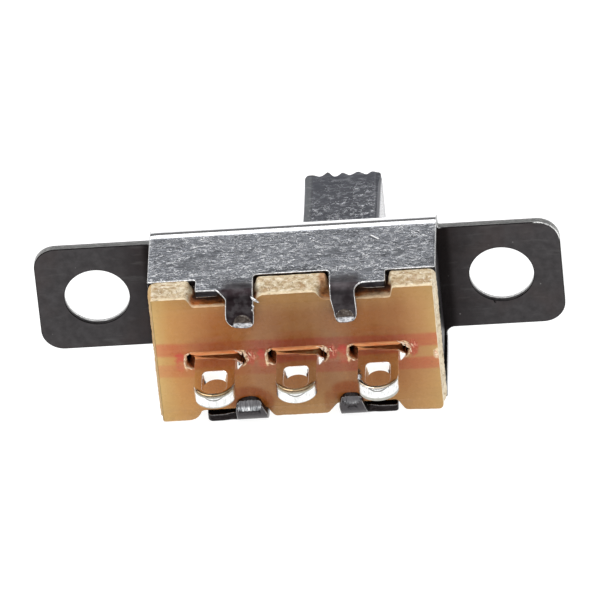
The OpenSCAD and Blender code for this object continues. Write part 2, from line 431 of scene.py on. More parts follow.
def nickel(name, kind="sheet"):
    s = Shade(name, Metallic=1.0)
    down = s.mul(s.ny, -1.0)
    side = s.step(s.abs(s.x), 5.25, 5.45)                   # 1 on the ears
    fine = s.noise((3.0, 3.0, 3.0), 4.0, 0.6, (3, 1, 7))
    if kind == "rim":
        # rounded rims: bright streaks, partly burnish and partly painted highlight; towards the tabs' tips they are
        # painted deep grey as shade
        streak = s.noise((9.0, 9.0, 9.0), 3.0, 0.7)
        col = s.ramp(streak, [(0.3, rgb(150, 150, 150)), (0.5, rgb(206, 206, 206)), (0.7, rgb(246, 246, 245))])
        tips = s.mul(s.step(s.y, -4.0, -4.4), s.step(s.z, 1.62, 1.50))
        col = s.mix(s.mul(tips, 0.85), col, s.ramp(streak, [(0.35, rgb(58, 56, 58)), (0.65, rgb(120, 118, 118))]))
        # on the ears the back rim is painted light grey and the front rim near black, painted light and shade, with a
        # painted glint on the right ear's front rim
        back = s.ramp(streak, [(0.3, rgb(88, 88, 88)), (0.68, rgb(138, 138, 136))])
        front = s.ramp(streak, [(0.3, rgb(26, 24, 25)), (0.68, rgb(46, 44, 45))])
        corner_glint = s.mul(s.step(s.x, 8.75, 8.95), s.step(s.z, 1.3, 1.6))
        front = s.mix(s.mul(corner_glint, s.step(streak, 0.36, 0.48)), front, rgb(236, 236, 234))
        col = s.mix(side, col, s.mix(s.step(s.y, -0.2, -0.26), back, front))
        return s.finish(col, 0.26, s.bump(streak, 0.006))
    if kind == "cut":
        streak = s.noise((3.5, 16.0, 16.0), 3.0, 0.7)
        col = s.ramp(streak, [(0.3, rgb(108, 108, 108)), (0.6, rgb(140, 140, 138)), (0.75, rgb(166, 166, 162))])
        # cut faces turned towards −Y, and those low on the lower wall, are painted near black as shade
        painted_shade = s.ramp(streak, [(0.35, rgb(26, 22, 24)), (0.7, rgb(54, 52, 54))])
        col = s.mix(s.step(down, 0.12, 0.6), col, painted_shade)
        low = s.mul(s.step(s.z, 0.0, -0.3), s.step(s.y, -3.0, -3.4))
        col = s.mix(s.mul(low, 0.9), col, s.ramp(streak, [(0.35, rgb(26, 22, 22)), (0.7, rgb(52, 48, 48))]))
        hx = s.sub(s.abs(s.x), 7.53)
        hole = s.step(s.m("SQRT", s.add(s.mul(hx, hx), s.mul(s.z, s.z))), 1.4, 1.3)
        far = s.step(s.add(s.y, s.mul(s.sub(streak, 0.5), 0.05)), -0.17, -0.11)
        wall = s.mix(far, s.ramp(streak, [(0.35, rgb(34, 32, 33)), (0.7, rgb(58, 56, 56))]), s.ramp(streak, [(0.35, rgb(172, 172, 172)), (0.7, rgb(226, 226, 224))]))
        col = s.mix(hole, col, wall)
        return s.finish(col, 0.34, s.bump(streak, 0.01))
    if kind == "inner":
        # the sheet's other side, turned towards −Y on the ears and inward on the walls, is painted deep grey as shade,
        # deeper still towards the body
        near = s.step(s.abs(s.x), 7.4, 5.2)
        col = s.ramp(fine, [(0.34, rgb(60, 58, 59)), (0.7, rgb(72, 70, 71))])
        col = s.mix(s.mul(near, 0.85), col, rgb(47, 43, 44))
        pit, _ = s.cells((1.7, 1.7, 1.7), (1, 6, 3))
        col = s.mix(s.mul(s.step(pit, 0.07, 0.03), 0.8), col, rgb(112, 110, 110))
        scuff = s.noise((0.9, 5.0, 5.0), 3.0, 0.6, (7, 3, 3))
        col = s.mix(s.mul(s.step(scuff, 0.55, 0.75), 0.35), col, rgb(88, 87, 87))
        warm = s.step(s.noise((0.6, 0.6, 0.6), 2.0, 0.5, (2, 2, 9)), 0.45, 0.7)
        col = s.mix(s.mul(warm, 0.3), col, rgb(74, 64, 62))
        # painted shade deep in the walls
        deep = s.mul(s.step(s.abs(s.z), 2.35, 2.5), s.step(s.y, -0.3, -0.5))
        col = s.mix(s.mul(deep, 0.6), col, rgb(52, 42, 40))
        # a painted near-black shadow where each ear meets the body
        col = s.mix(s.mul(s.mul(s.step(s.abs(s.x), 5.0, 5.2), s.step(s.abs(s.x), 5.8, 5.5)), 0.8), col, rgb(26, 23, 23))
        h = s.noise((7.0, 7.0, 7.0), 3.0, 0.6)
        return s.finish(col, 0.42, s.bump(h, 0.006))
    if kind == "coin":
        # struck half-moons: the striations are real, their brightness is painted light and shade: light on the lower
        # tabs with a painted shadow line along the lower arc, dim on the upper tabs with a painted highlight band at
        # the tip
        g = s.noise((22.0, 3.0, 3.0), 2.0, 0.6)
        lo = s.step(s.z, 0.2, -0.2)
        tip = s.step(s.add(s.z, s.mul(s.sub(fine, 0.5), 0.14)), 1.67, 1.58)
        bright = s.ramp(g, [(0.34, rgb(74, 76, 80)), (0.5, rgb(150, 154, 158)), (0.66, rgb(246, 248, 250))])
        ring = s.ramp(s.noise((5.0, 5.0, 5.0), 3.0, 0.7, (2, 2, 2)), [(0.36, rgb(84, 84, 86)), (0.55, rgb(128, 128, 130)), (0.7, rgb(206, 208, 208))])
        bright = s.mix(s.step(s.x, -0.3, 0.3), bright, ring)
        bright = s.mix(s.mul(s.step(s.z, -2.20, -2.08), 0.9), bright, rgb(92, 90, 92))
        g2 = s.noise((8.0, 8.0, 8.0), 3.0, 0.7, (4, 4, 1))
        dim = s.ramp(g2, [(0.35, rgb(48, 42, 40)), (0.6, rgb(92, 84, 78)), (0.75, rgb(150, 146, 142))])
        tipc = s.ramp(g2, [(0.35, rgb(96, 96, 100)), (0.62, rgb(230, 232, 236))])
        col = s.mix(lo, s.mix(tip, dim, tipc), bright)
        return s.finish(col, 0.3, s.bump(g, 0.02))
    # the sheet's outer face: rolled, then struck, with a hard orange-peel finish; its glints, the fold's highlight and
    # the shade of faces turned towards −Y are painted
    # faces turned towards −Y, and the tabs from a little above their bends, are painted deep grey as shade
    shaded_facing = s.step(down, 0.01, 0.32)
    edge = s.add(s.y, s.mul(s.sub(s.noise((2.2, 2.2, 2.2), 2.0, 0.5, (5, 5, 5)), 0.5), 0.5))
    tabx = s.mul(s.step(s.abs(s.sub(s.abs(s.x), 1.93)), 0.85, 0.40), s.step(edge, -3.55, -4.30))
    shaded_facing = s.mx(shaded_facing, s.mul(tabx, s.mul(s.step(s.z, 0.0, 0.1), 0.92)))
    flat = s.mx(s.mul(s.step(s.abs(s.nz), 0.985, 0.9995), s.step(s.y, -0.86, -1.03)), s.step(s.abs(s.ny), 0.985, 0.9995))
    calm = s.add(s.mul(flat, 0.94), 0.06)
    worn = s.noise((0.9, 1.5, 1.5), 2.0, 0.5, (4, 9, 4))
    calm = s.mul(calm, s.step(worn, 0.36, 0.50, 0.62, 1.0))
    tone = s.noise((0.8, 1.3, 1.3), 3.0, 0.6)
    base = s.ramp(tone, [(0.3, rgb(142, 145, 151)), (0.7, rgb(160, 163, 168))])
    # the fold's rounded top is painted near white as a highlight
    base = s.mix(s.mx(flat, s.step(s.y, -1.2, -1.6)), rgb(250, 251, 252), base)
    # painted glints along the peel's ripples, painted shade beside them
    body = s.noise((4.2, 11.0, 11.0), 2.0, 0.55, (1, 2, 3), 0.9)
    vein = s.abs(s.sub(body, 0.5))
    part = s.step(s.noise((3.1, 6.0, 6.0), 2.0, 0.5, (6, 2, 8)), 0.47, 0.58)
    line = s.mul(s.mul(s.step(vein, 0.030, 0.004), part), calm)
    body2 = s.noise((6.0, 17.0, 17.0), 2.0, 0.55, (11, 5, 2), 0.7)
    vein2 = s.abs(s.sub(body2, 0.52))
    part2 = s.step(s.noise((4.4, 8.0, 8.0), 2.0, 0.5, (1, 7, 3)), 0.54, 0.63)
    line2 = s.mul(s.mul(s.step(vein2, 0.026, 0.004), part2), calm)
    dot, _ = s.cells((4.5, 9.5, 9.5), (2, 5, 1))
    spot = s.mul(s.step(dot, 0.15, 0.05), calm)
    painted_glint = s.mx(s.mx(line, s.mul(line2, 0.8)), s.mul(spot, 0.8))
    shade = s.mul(s.mul(s.step(s.sub(body, 0.5), 0.02, 0.07), part), calm)
    col = s.mix(s.mul(shade, 0.45), base, rgb(84, 86, 92))
    col = s.mix(painted_glint, col, rgb(255, 255, 255))
    # one fresh scratch across the peel, its bright and dim edges painted as highlight and shade
    u = s.add(s.mul(s.sub(s.x, 2.89), 0.730), s.mul(s.add(s.y, 1.51), -0.683))
    v = s.add(s.mul(s.sub(s.x, 2.89), 0.683), s.mul(s.add(s.y, 1.51), 0.730))
    within = s.mul(s.mul(s.step(u, -0.03, 0.03), s.step(u, 0.45, 0.39)), s.step(s.z, 1.0, 2.0))
    white = s.mul(within, s.step(s.abs(v), 0.040, 0.022))
    black = s.mul(within, s.step(s.abs(s.add(v, 0.062)), 0.036, 0.018))
    col = s.mix(white, col, rgb(255, 255, 255))
    col = s.mix(s.mul(black, 0.8), col, rgb(40, 42, 46))
    # the painted shade is lighter on the lower tabs, painted light, with deeper blotches on the upper left tab
    painted_shade = s.ramp(fine, [(0.35, rgb(46, 41, 43)), (0.68, rgb(72, 68, 70))])
    painted_shade = s.mix(s.mul(s.step(s.z, 0.2, -0.2), 0.6), painted_shade, rgb(92, 90, 92))
    blotch = s.step(s.noise((3.4, 3.4, 3.4), 3.0, 0.6, (8, 8, 2)), 0.44, 0.62)
    painted_shade = s.mix(s.mul(s.mul(blotch, s.step(s.x, 0.5, -0.5)), s.mul(s.step(s.z, 1.2, 1.5), 0.8)), painted_shade, rgb(34, 25, 28))
    col = s.mix(shaded_facing, col, painted_shade)
    h = s.mul(s.add(s.mul(body, 0.7), s.mul(body2, 0.4)), calm)
    nrm = s.bump(h, 0.010)
    nrm = s.bump(s.mul(s.sub(painted_glint, black), calm), 0.004, nrm)
    nrm = s.bump(s.noise((26.0, 40.0, 40.0), 2.0, 0.6), 0.0008, nrm)
    rough = s.step(s.noise((2.0, 3.0, 3.0), 3.0, 0.6, (4, 4, 4)), 0.3, 0.7, 0.09, 0.13)
    rough = s.sub(rough, s.mul(s.inv(flat), 0.055))
    rough = s.add(rough, s.mul(shaded_facing, 0.30))
    rough = s.add(rough, s.mul(s.mx(painted_glint, white), 0.34))
    return s.finish(col, rough, nrm)


def board_face(name):
    s = Shade(name, Specular_IOR_Level=0.32, IOR=1.5)
    wob = s.noise((0.9, 0.5, 0.5), 2.0, 0.5)
    xw = s.add(s.x, s.mul(s.sub(wob, 0.5), 0.5))
    stops = [(-5.15, (209, 173, 112)), (-4.9, (203, 162, 101)), (-4.5, (195, 142, 84)), (-3.8, (180, 124, 74)), (-3.0, (165, 106, 60)), (-2.2, (156, 103, 60)),
             (-1.5, (157, 113, 80)), (-0.9, (150, 104, 70)), (0.0, (143, 98, 62)), (0.9, (147, 104, 70)), (1.5, (151, 111, 80)), (2.2, (150, 102, 66)),
             (3.0, (148, 99, 60)), (3.8, (160, 108, 66)), (4.5, (184, 136, 88)), (4.9, (193, 149, 96)), (5.15, (200, 160, 104))]
    base = s.ramp(s.step(xw, -5.4, 5.4, smooth=False), [((x + 5.4) / 10.8, pig(*c)) for x, c in stops])
    # bands of the drawn paper, upright on the face
    band = s.noise((2.2, 0.2, 0.12), 2.0, 0.5, (5, 0, 0))
    base = s.mix(s.mul(s.step(band, 0.4, 0.68), 0.10), base, pig(186, 138, 92))
    top = s.mul(s.step(s.z, 1.6, 2.75), 0.42)
    base = s.mix(top, base, pig(180, 146, 94))
    low = s.mul(s.step(s.z, -1.2, -2.7), 0.42)
    base = s.mix(low, base, pig(186, 150, 98))
    # deep orange where the tabs and lugs shade the resin
    for cx, cz, rx, rz, k in ((-2.3, 1.55, 1.0, 0.75, 0.30), (2.2, 1.35, 1.1, 0.6, 0.22), (-1.95, -1.66, 0.62, 0.30, 1.0), (1.72, -1.62, 0.55, 0.28, 0.95),
                              (-1.95, -1.95, 0.9, 0.42, 0.85), (1.85, -1.9, 0.85, 0.40, 0.8), (-1.25, -2.1, 0.22, 0.45, 0.7), (1.0, -2.2, 0.2, 0.4, 0.4)):
        base = s.mix(s.mul(s.blob(cx, cz, rx, rz), k), base, pig(139, 80, 26) if cz < 0 else pig(158, 92, 38))
    for k in (-1, 0, 1):
        base = s.mix(s.mul(s.blob(k * PITCH, 0.62, 0.95, 0.42), 0.35), base, pig(152, 82, 38))
        base = s.mix(s.mul(s.blob(k * PITCH - 0.05, -1.15, 0.75, 0.5), 0.25), base, pig(150, 92, 44))
    # two faint red stripes that drift down to the right
    wave = s.mul(s.sub(s.noise((0.5, 0.1, 0.1), 2.0, 0.5, (1, 9, 2)), 0.5), 0.12)
    zz = s.add(s.z, wave)
    ca = s.sub(zz, s.add(s.mul(s.x, -0.017), 0.39))
    cb = s.sub(zz, s.add(s.mul(s.x, -0.028), -0.60))
    sa = s.step(s.abs(ca), 0.36, 0.22)
    sb = s.step(s.abs(cb), 0.34, 0.20)
    drawn = s.step(s.noise((0.5, 1.0, 13.0), 2.0, 0.6, (2, 6, 3)), 0.35, 0.65, 0.86, 1.0)
    thin = s.step(s.noise((1.1, 1.0, 2.2), 3.0, 0.6, (7, 7, 1)), 0.25, 0.6, 0.8, 1.0)
    left = s.step(s.x, -2.2, -3.8)
    amount = s.mul(s.mx(sa, s.mul(sb, s.step(s.x, -1.0, 2.5, 0.62, 0.95))), s.mul(thin, drawn))
    amount = s.mul(amount, s.step(s.abs(s.add(s.x, 2.9)), 1.5, 0.8, 1.0, 0.60))
    mid = s.mul(s.step(s.abs(s.x), 1.5, 0.4), sa)
    red = s.mix(left, (0.985, 0.52, 0.60, 1), (0.97, 0.53, 0.60, 1))
    red = s.mix(mid, red, (0.93, 0.42, 0.40, 1))
    base = s.mix(s.m("MULTIPLY", amount, 1.0, clamp=True), base, s.mix(1.0, base, red, "MULTIPLY"))
    # pink bruises and pale torn fibre at the ends of the punched slots
    rag = s.mul(s.sub(s.noise((9.0, 9.0, 9.0), 3.0, 0.7), 0.5), 1.5)
    rag2 = s.mul(s.sub(s.noise((14.0, 6.0, 14.0), 3.0, 0.7, (2, 2, 2)), 0.5), 1.9)
    for k in (-1, 0, 1):
        lx, rx = k * PITCH - SLOT_L / 2, k * PITCH + SLOT_L / 2
        base = s.mix(s.mul(s.blob(lx - 0.19, PIN_Z + 0.20, 0.19, 0.20, s.mul(rag, 1.6)), 0.62), base, pig(198, 62, 66))
        base = s.mix(s.mul(s.blob(lx - 0.17, PIN_Z - 0.08, 0.22, 0.34, rag), 0.40), base, pig(196, 88, 70))
        base = s.mix(s.mul(s.blob(rx + 0.15, PIN_Z + 0.08, 0.20, 0.32, rag), 0.72), base, pig(178, 66, 58))
        fib = s.step(s.noise((13.0, 3.0, 5.0), 3.0, 0.7, (k * 3 + 1, 4, 4)), 0.50, 0.62)
        base = s.mix(s.mul(s.blob(rx + 0.16, PIN_Z + 0.16, 0.20, 0.24, rag2), s.mul(fib, 0.85)), base, pig(236, 168, 142))
        base = s.mix(s.blob(lx - 0.01, PIN_Z - 0.02, 0.065, 0.32, rag), base, pig(250, 222, 178))
        # the rolled lip along each slot's upper edge is painted far lighter than the face, painted light against its
        # shade
        lip_painted_light = s.mul(s.mul(s.step(s.z, SLOT_T - 0.002, SLOT_T - 0.022), s.step(s.z, PIN_Z + 0.20, PIN_Z + 0.24)), s.step(s.abs(s.sub(s.x, k * PITCH)), 1.06, 1.0))
        base = s.mix(s.mul(lip_painted_light, 0.9), base, s.ramp(s.noise((1.5, 8.0, 14.0), 3.0, 0.6, (4, 2, k)), [(0.35, pig(244, 140, 84)), (0.66, pig(255, 196, 138))]))
        rim = s.mul(s.step(s.abs(s.sub(s.z, SLOT_T + 0.012)), 0.036, 0.012), s.step(s.abs(s.sub(s.x, k * PITCH)), 1.0, 0.85))
        base = s.mix(s.mul(rim, 0.65), base, pig(206, 142, 86))
    chip = s.blob(5.12, -0.33, 0.12, 0.2, rag2)
    base = s.mix(chip, base, pig(246, 222, 186))
    # a duller, browner band along the face's left border
    dull = s.step(s.x, -5.125, -5.165)
    base = s.mix(s.mul(dull, 0.7), base, pig(122, 104, 66))
    mott = s.noise((5.0, 5.0, 2.0), 3.0, 0.6)
    base = s.mix(s.mul(s.step(mott, 0.4, 0.75), 0.07), base, pig(212, 170, 118))
    spot = s.step(s.noise((2.2, 2.2, 2.2), 1.0, 0.4, (8, 3, 5)), 0.76, 0.80)
    base = s.mix(s.mul(spot, 0.3), base, pig(120, 80, 40))
    rough = s.step(s.noise((3.0, 3.0, 3.0), 3.0, 0.6), 0.3, 0.7, 0.22, 0.34)
    nrm = s.bump(s.noise((2.0, 2.0, 3.0), 3.0, 0.6), 0.0035)
    nrm = s.bump(s.noise((16.0, 16.0, 10.0), 2.0, 0.6), 0.0006, nrm)
    return s.finish(base, rough, nrm)


def board_edge(name):
    s = Shade(name, Specular_IOR_Level=0.3)
    lay = s.noise((4.5, 9.0, 4.5), 4.0, 0.68, (0, 0, 0), 0.5)
    col = s.ramp(lay, [(0.30, rgb(136, 106, 72)), (0.42, rgb(184, 160, 124)), (0.54, rgb(214, 198, 168)), (0.70, rgb(246, 238, 220))])
    blot = s.noise((2.4, 5.0, 2.4), 3.0, 0.6, (3, 3, 3))
    col = s.mix(s.mul(s.step(blot, 0.54, 0.66), 0.6), col, rgb(166, 128, 84))
    spk = s.step(s.noise((13.0, 13.0, 13.0), 2.0, 0.6, (1, 1, 8)), 0.60, 0.68)
    col = s.mix(s.mul(spk, 0.7), col, rgb(124, 90, 58))
    fleck = s.step(s.noise((10.0, 14.0, 10.0), 2.0, 0.6, (5, 1, 2)), 0.62, 0.70)
    col = s.mix(s.mul(fleck, 0.8), col, rgb(252, 248, 236))
    # the line beside the outer face is lighter; the notches are painted deep orange as shade and glow, and further in
    # near black as shadow
    near = s.mul(s.step(s.y, FACE_Y + 0.20, FACE_Y + 0.05), s.step(lay, 0.3, 0.5))
    col = s.mix(s.mul(near, 0.75), col, rgb(242, 224, 190))
    az = s.abs(s.z)
    notch = s.mul(s.step(az, 2.66, 2.50), s.mul(s.step(s.abs(s.x), 3.86, 3.66), s.step(s.abs(s.x), 0.95, 1.15)))
    col = s.mix(s.mul(notch, 0.95), col, s.ramp(lay, [(0.3, rgb(150, 70, 16)), (0.7, rgb(216, 126, 48))]))
    murk = s.mul(notch, s.step(s.add(s.y, s.mul(s.sub(blot, 0.5), 0.3)), FACE_Y + 0.20, FACE_Y + 0.42))
    col = s.mix(s.mul(murk, 0.96), col, rgb(44, 24, 14))
    rim = s.mul(notch, s.step(s.add(s.y, s.mul(s.sub(lay, 0.5), 0.4)), FACE_Y + 0.20, FACE_Y + 0.08))
    col = s.mix(s.mul(rim, 0.9), col, rgb(232, 198, 158))
    out = s.mul(s.step(s.x, 2.4, 2.9), s.mul(notch, s.step(s.y, FACE_Y + 0.36, FACE_Y + 0.24)))
    col = s.mix(s.mul(out, 0.8), col, s.ramp(lay, [(0.35, rgb(176, 138, 98)), (0.6, rgb(236, 214, 180))]))
    # painted brown shadow on the mid pad's flank beside the right tab, a clean bright right flank
    flank = s.mul(s.step(s.abs(s.sub(s.x, 1.22)), 0.30, 0.10), s.step(az, 2.2, 2.4))
    col = s.mix(s.mul(flank, 0.8), col, s.ramp(lay, [(0.35, rgb(112, 66, 30)), (0.65, rgb(184, 128, 76))]))
    col = s.mix(s.mul(s.step(s.x, -5.12, -5.18), 0.85), col, rgb(190, 152, 96))
    right = s.step(s.x, 5.10, 5.17)
    col = s.mix(s.mul(right, 0.6), col, s.ramp(lay, [(0.32, rgb(196, 172, 130)), (0.5, rgb(246, 232, 204))]))
    nrm = s.bump(lay, 0.06)
    nrm = s.bump(s.noise((12.0, 16.0, 12.0), 3.0, 0.7), 0.022, nrm)
    return s.finish(col, 0.6, nrm)


def slot_wall(name):
    s = Shade(name, Roughness=0.55)
    lay = s.noise((10.0, 12.0, 10.0), 3.0, 0.6)
    # painted shade: the slot's wall goes deeper brown with depth and is light near the face
    near = s.step(s.y, FACE_Y + 0.07, FACE_Y + 0.0)
    deep = s.ramp(s.step(s.y, FACE_Y + 0.55, FACE_Y + 0.12), [(0.0, rgb(70, 24, 10)), (1.0, rgb(170, 92, 46))])
    ends = s.m("PINGPONG", s.add(s.x, PITCH / 2), PITCH / 2)   # 1.5 at a slot's middle, 0 between two slots
    roll = s.mul(s.step(ends, 0.52, 0.66), s.step(s.z, -0.05, 0.05))
    fibre = s.noise((1.4, 6.0, 16.0), 3.0, 0.65, (3, 1, 2))
    lip = s.ramp(lay, [(0.35, rgb(150, 92, 56)), (0.62, rgb(240, 206, 164))])
    col = s.mix(near, deep, lip)
    strip = s.ramp(fibre, [(0.34, rgb(196, 112, 62)), (0.55, rgb(228, 146, 88)), (0.68, rgb(246, 206, 150))])
    col = s.mix(roll, col, strip)
    return s.finish(col, None, s.bump(lay, 0.03))


def tuft(name):
    s = Shade(name, Roughness=0.6)
    n = s.noise((12.0, 12.0, 12.0), 3.0, 0.7)
    col = s.ramp(n, [(0.34, rgb(214, 130, 104)), (0.48, rgb(240, 204, 170)), (0.66, rgb(254, 244, 224))])
    return s.finish(col, None, s.bump(n, 0.02))


def silver(name, broken=False):
    s = Shade(name, Metallic=1.0)
    slow = s.noise((1.3, 1.0, 1.3), 2.0, 0.5)
    xr = s.sub(s.m("FLOORED_MODULO", s.add(s.x, PITCH / 2), PITCH), PITCH / 2)      # distance from a lug's middle
    if broken:
        g = s.noise((7.0, 7.0, 4.0), 3.0, 0.6)
        col = s.ramp(g, [(0.34, rgb(214, 216, 214)), (0.5, rgb(238, 239, 239)), (0.68, rgb(252, 252, 252))])
        # the line where the shear broke through sags in the middle and dies out towards the sides
        sag = s.add(s.mul(s.mul(xr, xr), 0.85), PIN_Z + 0.04)
        sag = s.add(sag, s.mul(s.sub(slow, 0.5), 0.05))
        off = s.sub(s.z, sag)
        fade = s.step(s.abs(xr), 0.50, 0.22)
        # the groove and a hairline above it are painted deeper grey as their shade
        groove = s.mul(s.step(s.abs(off), 0.040, 0.014), fade)
        col = s.mix(s.mul(groove, 0.85), col, rgb(92, 90, 84))
        hair = s.mul(s.step(s.abs(s.sub(off, 0.085)), 0.018, 0.006), fade)
        col = s.mix(s.mul(hair, 0.45), col, rgb(130, 130, 124))
        # the upper roll is painted in bands of grey and brown, painted reflection and shade
        upper = s.ramp(s.step(s.add(s.z, s.mul(s.sub(slow, 0.5), 0.06)), PIN_Z + 0.11, PIN_Z + 0.27),
                       [(0.0, rgb(196, 196, 190)), (0.12, rgb(132, 130, 118)), (0.3, rgb(176, 170, 152)), (0.62, rgb(146, 126, 96)), (1.0, rgb(150, 104, 68))])
        col = s.mix(s.mul(s.step(s.z, PIN_Z + 0.11, PIN_Z + 0.14), 0.92), col, upper)
        under = s.step(s.z, PIN_Z - 0.24, PIN_Z - 0.29)
        col = s.mix(s.mul(under, 0.75), col, rgb(140, 138, 124))
        return s.finish(col, 0.2, s.bump(g, 0.012))
    col = s.ramp(slow, [(0.3, rgb(240, 238, 233)), (0.7, rgb(249, 247, 244))])
    # painted darker arcs, shade and a reflection of the board, where the top rolls over towards the tip
    yr = s.sub(s.y, TIP_Y + 0.755)
    rad = s.m("SQRT", s.add(s.mul(xr, xr), s.mul(yr, yr)))
    tip = s.mul(s.step(s.y, TIP_Y + 0.62, TIP_Y + 0.38), s.step(s.z, PIN_Z + 0.1, PIN_Z + 0.18))
    band = s.add(s.step(s.abs(s.sub(rad, 0.655)), 0.035, 0.018), s.mul(s.step(s.abs(s.sub(rad, 0.60)), 0.022, 0.010), 0.5))
    col = s.mix(s.mul(tip, s.step(rad, 0.60, 0.65)), col, rgb(142, 120, 92))
    col = s.mix(s.m("MULTIPLY", s.mul(tip, band), 0.45, clamp=True), col, rgb(104, 98, 78))
    nrm = s.bump(s.noise((1.6, 1.1, 1.6), 2.0, 0.5), 0.02)
    nrm = s.bump(s.noise((22.0, 3.0, 22.0), 2.0, 0.6), 0.0008, nrm)
    pits, _ = s.cells(5.0)
    nrm = s.bump(s.step(pits, 0.16, 0.04), 0.002, nrm)
    rough = s.step(s.noise((4.0, 4.0, 4.0), 3.0, 0.6), 0.3, 0.75, 0.045, 0.12)
    return s.finish(col, rough, nrm)


def plastic(name, shaded_inside=False):
    s = Shade(name, Specular_IOR_Level=0.5)
    n = s.noise((1.2, 1.2, 1.2), 3.0, 0.6)
    front = s.step(s.abs(s.nz), 0.8, 0.95)
    col = s.ramp(n, [(0.3, pig(70, 71, 76, 0.045)), (0.7, pig(85, 86, 91, 0.045))])
    # side faces painted light grey as a highlight
    col = s.mix(s.step(s.abs(s.nx), 0.6, 0.95), col, pig(150, 151, 154, 0.03))
    if shaded_inside:
        # the carriage in the housing is the same moulding, painted near black as shade
        col = s.ramp(n, [(0.3, rgb(26, 24, 26)), (0.7, rgb(40, 38, 40))])
        return s.finish(col, 0.45, s.bump(s.noise((9.0, 9.0, 9.0), 3.0, 0.6), 0.006))
    dx = s.sub(s.x, KNOB_X)
    # the moulding carries curly flow marks, most of them low down and to the right, with painted glints on them and
    # painted shade beside them
    flow = s.noise((4.6, 9.0, 9.0), 2.0, 0.55, (4, 2, 6), 1.1)
    vein = s.abs(s.sub(flow, 0.5))
    part = s.step(s.noise((3.6, 5.0, 5.0), 2.0, 0.5, (9, 2, 3)), 0.44, 0.56)
    where = s.mn(s.add(s.step(s.y, 4.3, 2.2, 0.25, 0.8), s.mul(s.step(dx, -0.8, 0.9), s.step(s.y, 4.6, 3.9, 0.0, 0.45))), 1.0)
    where = s.mul(where, s.mul(s.step(s.abs(dx), 1.33, 1.15), s.step(s.y, 4.85, 4.55, 0.35, 1.0)))
    painted_glint = s.mul(s.mul(s.mul(s.step(vein, 0.030, 0.004), part), where), front)
    dot, _ = s.cells((5.5, 9.0, 9.0), (2, 5, 8))
    painted_glint = s.mx(painted_glint, s.mul(s.mul(s.step(dot, 0.14, 0.05), where), front))
    shade = s.mul(s.mul(s.step(s.sub(flow, 0.5), 0.02, 0.07), part), s.mul(where, front))
    murk = s.mul(s.step(s.noise((5.0, 8.0, 8.0), 3.0, 0.65, (1, 8, 8)), 0.50, 0.64), front)
    col = s.mix(s.mul(shade, 0.6), col, pig(60, 61, 64, 0.04))
    col = s.mix(s.mul(murk, 0.45), col, pig(66, 68, 72, 0.04))
    col = s.mix(s.mul(painted_glint, 0.85), col, rgb(226, 228, 232))
    pale = s.mul(s.step(s.noise((3.5, 7.0, 7.0), 3.0, 0.6, (3, 3, 9)), 0.52, 0.66), front)
    col = s.mix(s.mul(pale, 0.3), col, pig(150, 152, 156, 0.04))
    # along the front's side edges a lighter band and a deep line on the left, deep lines and a faint light line on the
    # right: painted highlight and shade of the rounded edges
    left = s.mul(s.step(dx, -1.10, -1.22), front)
    col = s.mix(s.mul(left, 0.38), col, pig(120, 122, 121, 0.04))
    split = s.mul(s.step(s.abs(s.add(dx, 1.13)), 0.035, 0.01), front)
    col = s.mix(s.mul(split, 0.4), col, pig(70, 70, 74, 0.04))
    right = s.mul(s.mx(s.step(dx, 1.36, 1.40), s.mul(s.step(s.abs(s.sub(dx, 1.29)), 0.03, 0.01), 0.5)), front)
    col = s.mix(s.mul(right, 0.7), col, pig(62, 62, 64, 0.04))
    right2 = s.mul(s.step(s.abs(s.sub(dx, 1.22)), 0.035, 0.012), front)
    col = s.mix(s.mul(right2, 0.12), col, pig(150, 150, 152, 0.04))
    # the top bevels are painted lighter as highlight
    bevel = s.mul(s.mul(s.step(s.nx, 0.10, 0.28), s.step(s.nx, 0.80, 0.62)), s.step(s.y, 4.9, 4.7))
    col = s.mix(s.mul(bevel, 0.7), col, pig(120, 121, 124, 0.04))
    # ridge faces turned upward and the ridge tops are painted near black as shade
    crest = s.mul(s.step(s.ny, 0.12, 0.35), s.step(s.y, 4.5, 4.7))
    tops = s.mul(s.step(s.y, 5.02, 5.12), s.step(dx, -0.2, -0.35))
    tops = s.mx(tops, s.mul(s.step(s.abs(s.add(dx, 1.10)), 0.26, 0.16), s.step(s.y, 4.93, 5.00)))
    col = s.mix(s.mul(s.mx(crest, tops), s.step(dx, 0.2, -0.2, 0.65, 0.95)), col, pig(44, 44, 46, 0.04))
    # a painted contact shadow at the handle's foot
    foot = s.mul(s.step(s.y, 0.66, 0.56), front)
    col = s.mix(s.mul(foot, 0.75), col, pig(48, 48, 50, 0.04))
    h = s.mul(flow, s.add(s.mul(where, 0.8), 0.2))
    nrm = s.bump(h, 0.016)
    nrm = s.bump(s.noise((24.0, 24.0, 24.0), 3.0, 0.6), 0.003, nrm)
    # the sides drew against polished steel and came out glossier
    side = s.step(s.abs(s.nx), 0.80, 0.98)
    rough = s.step(flow, 0.45, 0.72, 0.46, 0.34)
    rough = s.sub(rough, s.mul(side, 0.30))
    return s.finish(col, rough, nrm)


def bronze(name):
    s = Shade(name, Metallic=1.0)
    n = s.noise((2.0, 9.0, 2.0), 3.0, 0.6)
    col = s.ramp(n, [(0.3, rgb(196, 150, 96)), (0.7, rgb(226, 184, 128))])
    rough = s.step(n, 0.3, 0.7, 0.22, 0.36)
    return s.finish(col, rough, s.bump(s.noise((6.0, 40.0, 6.0), 2.0, 0.6), 0.0015))


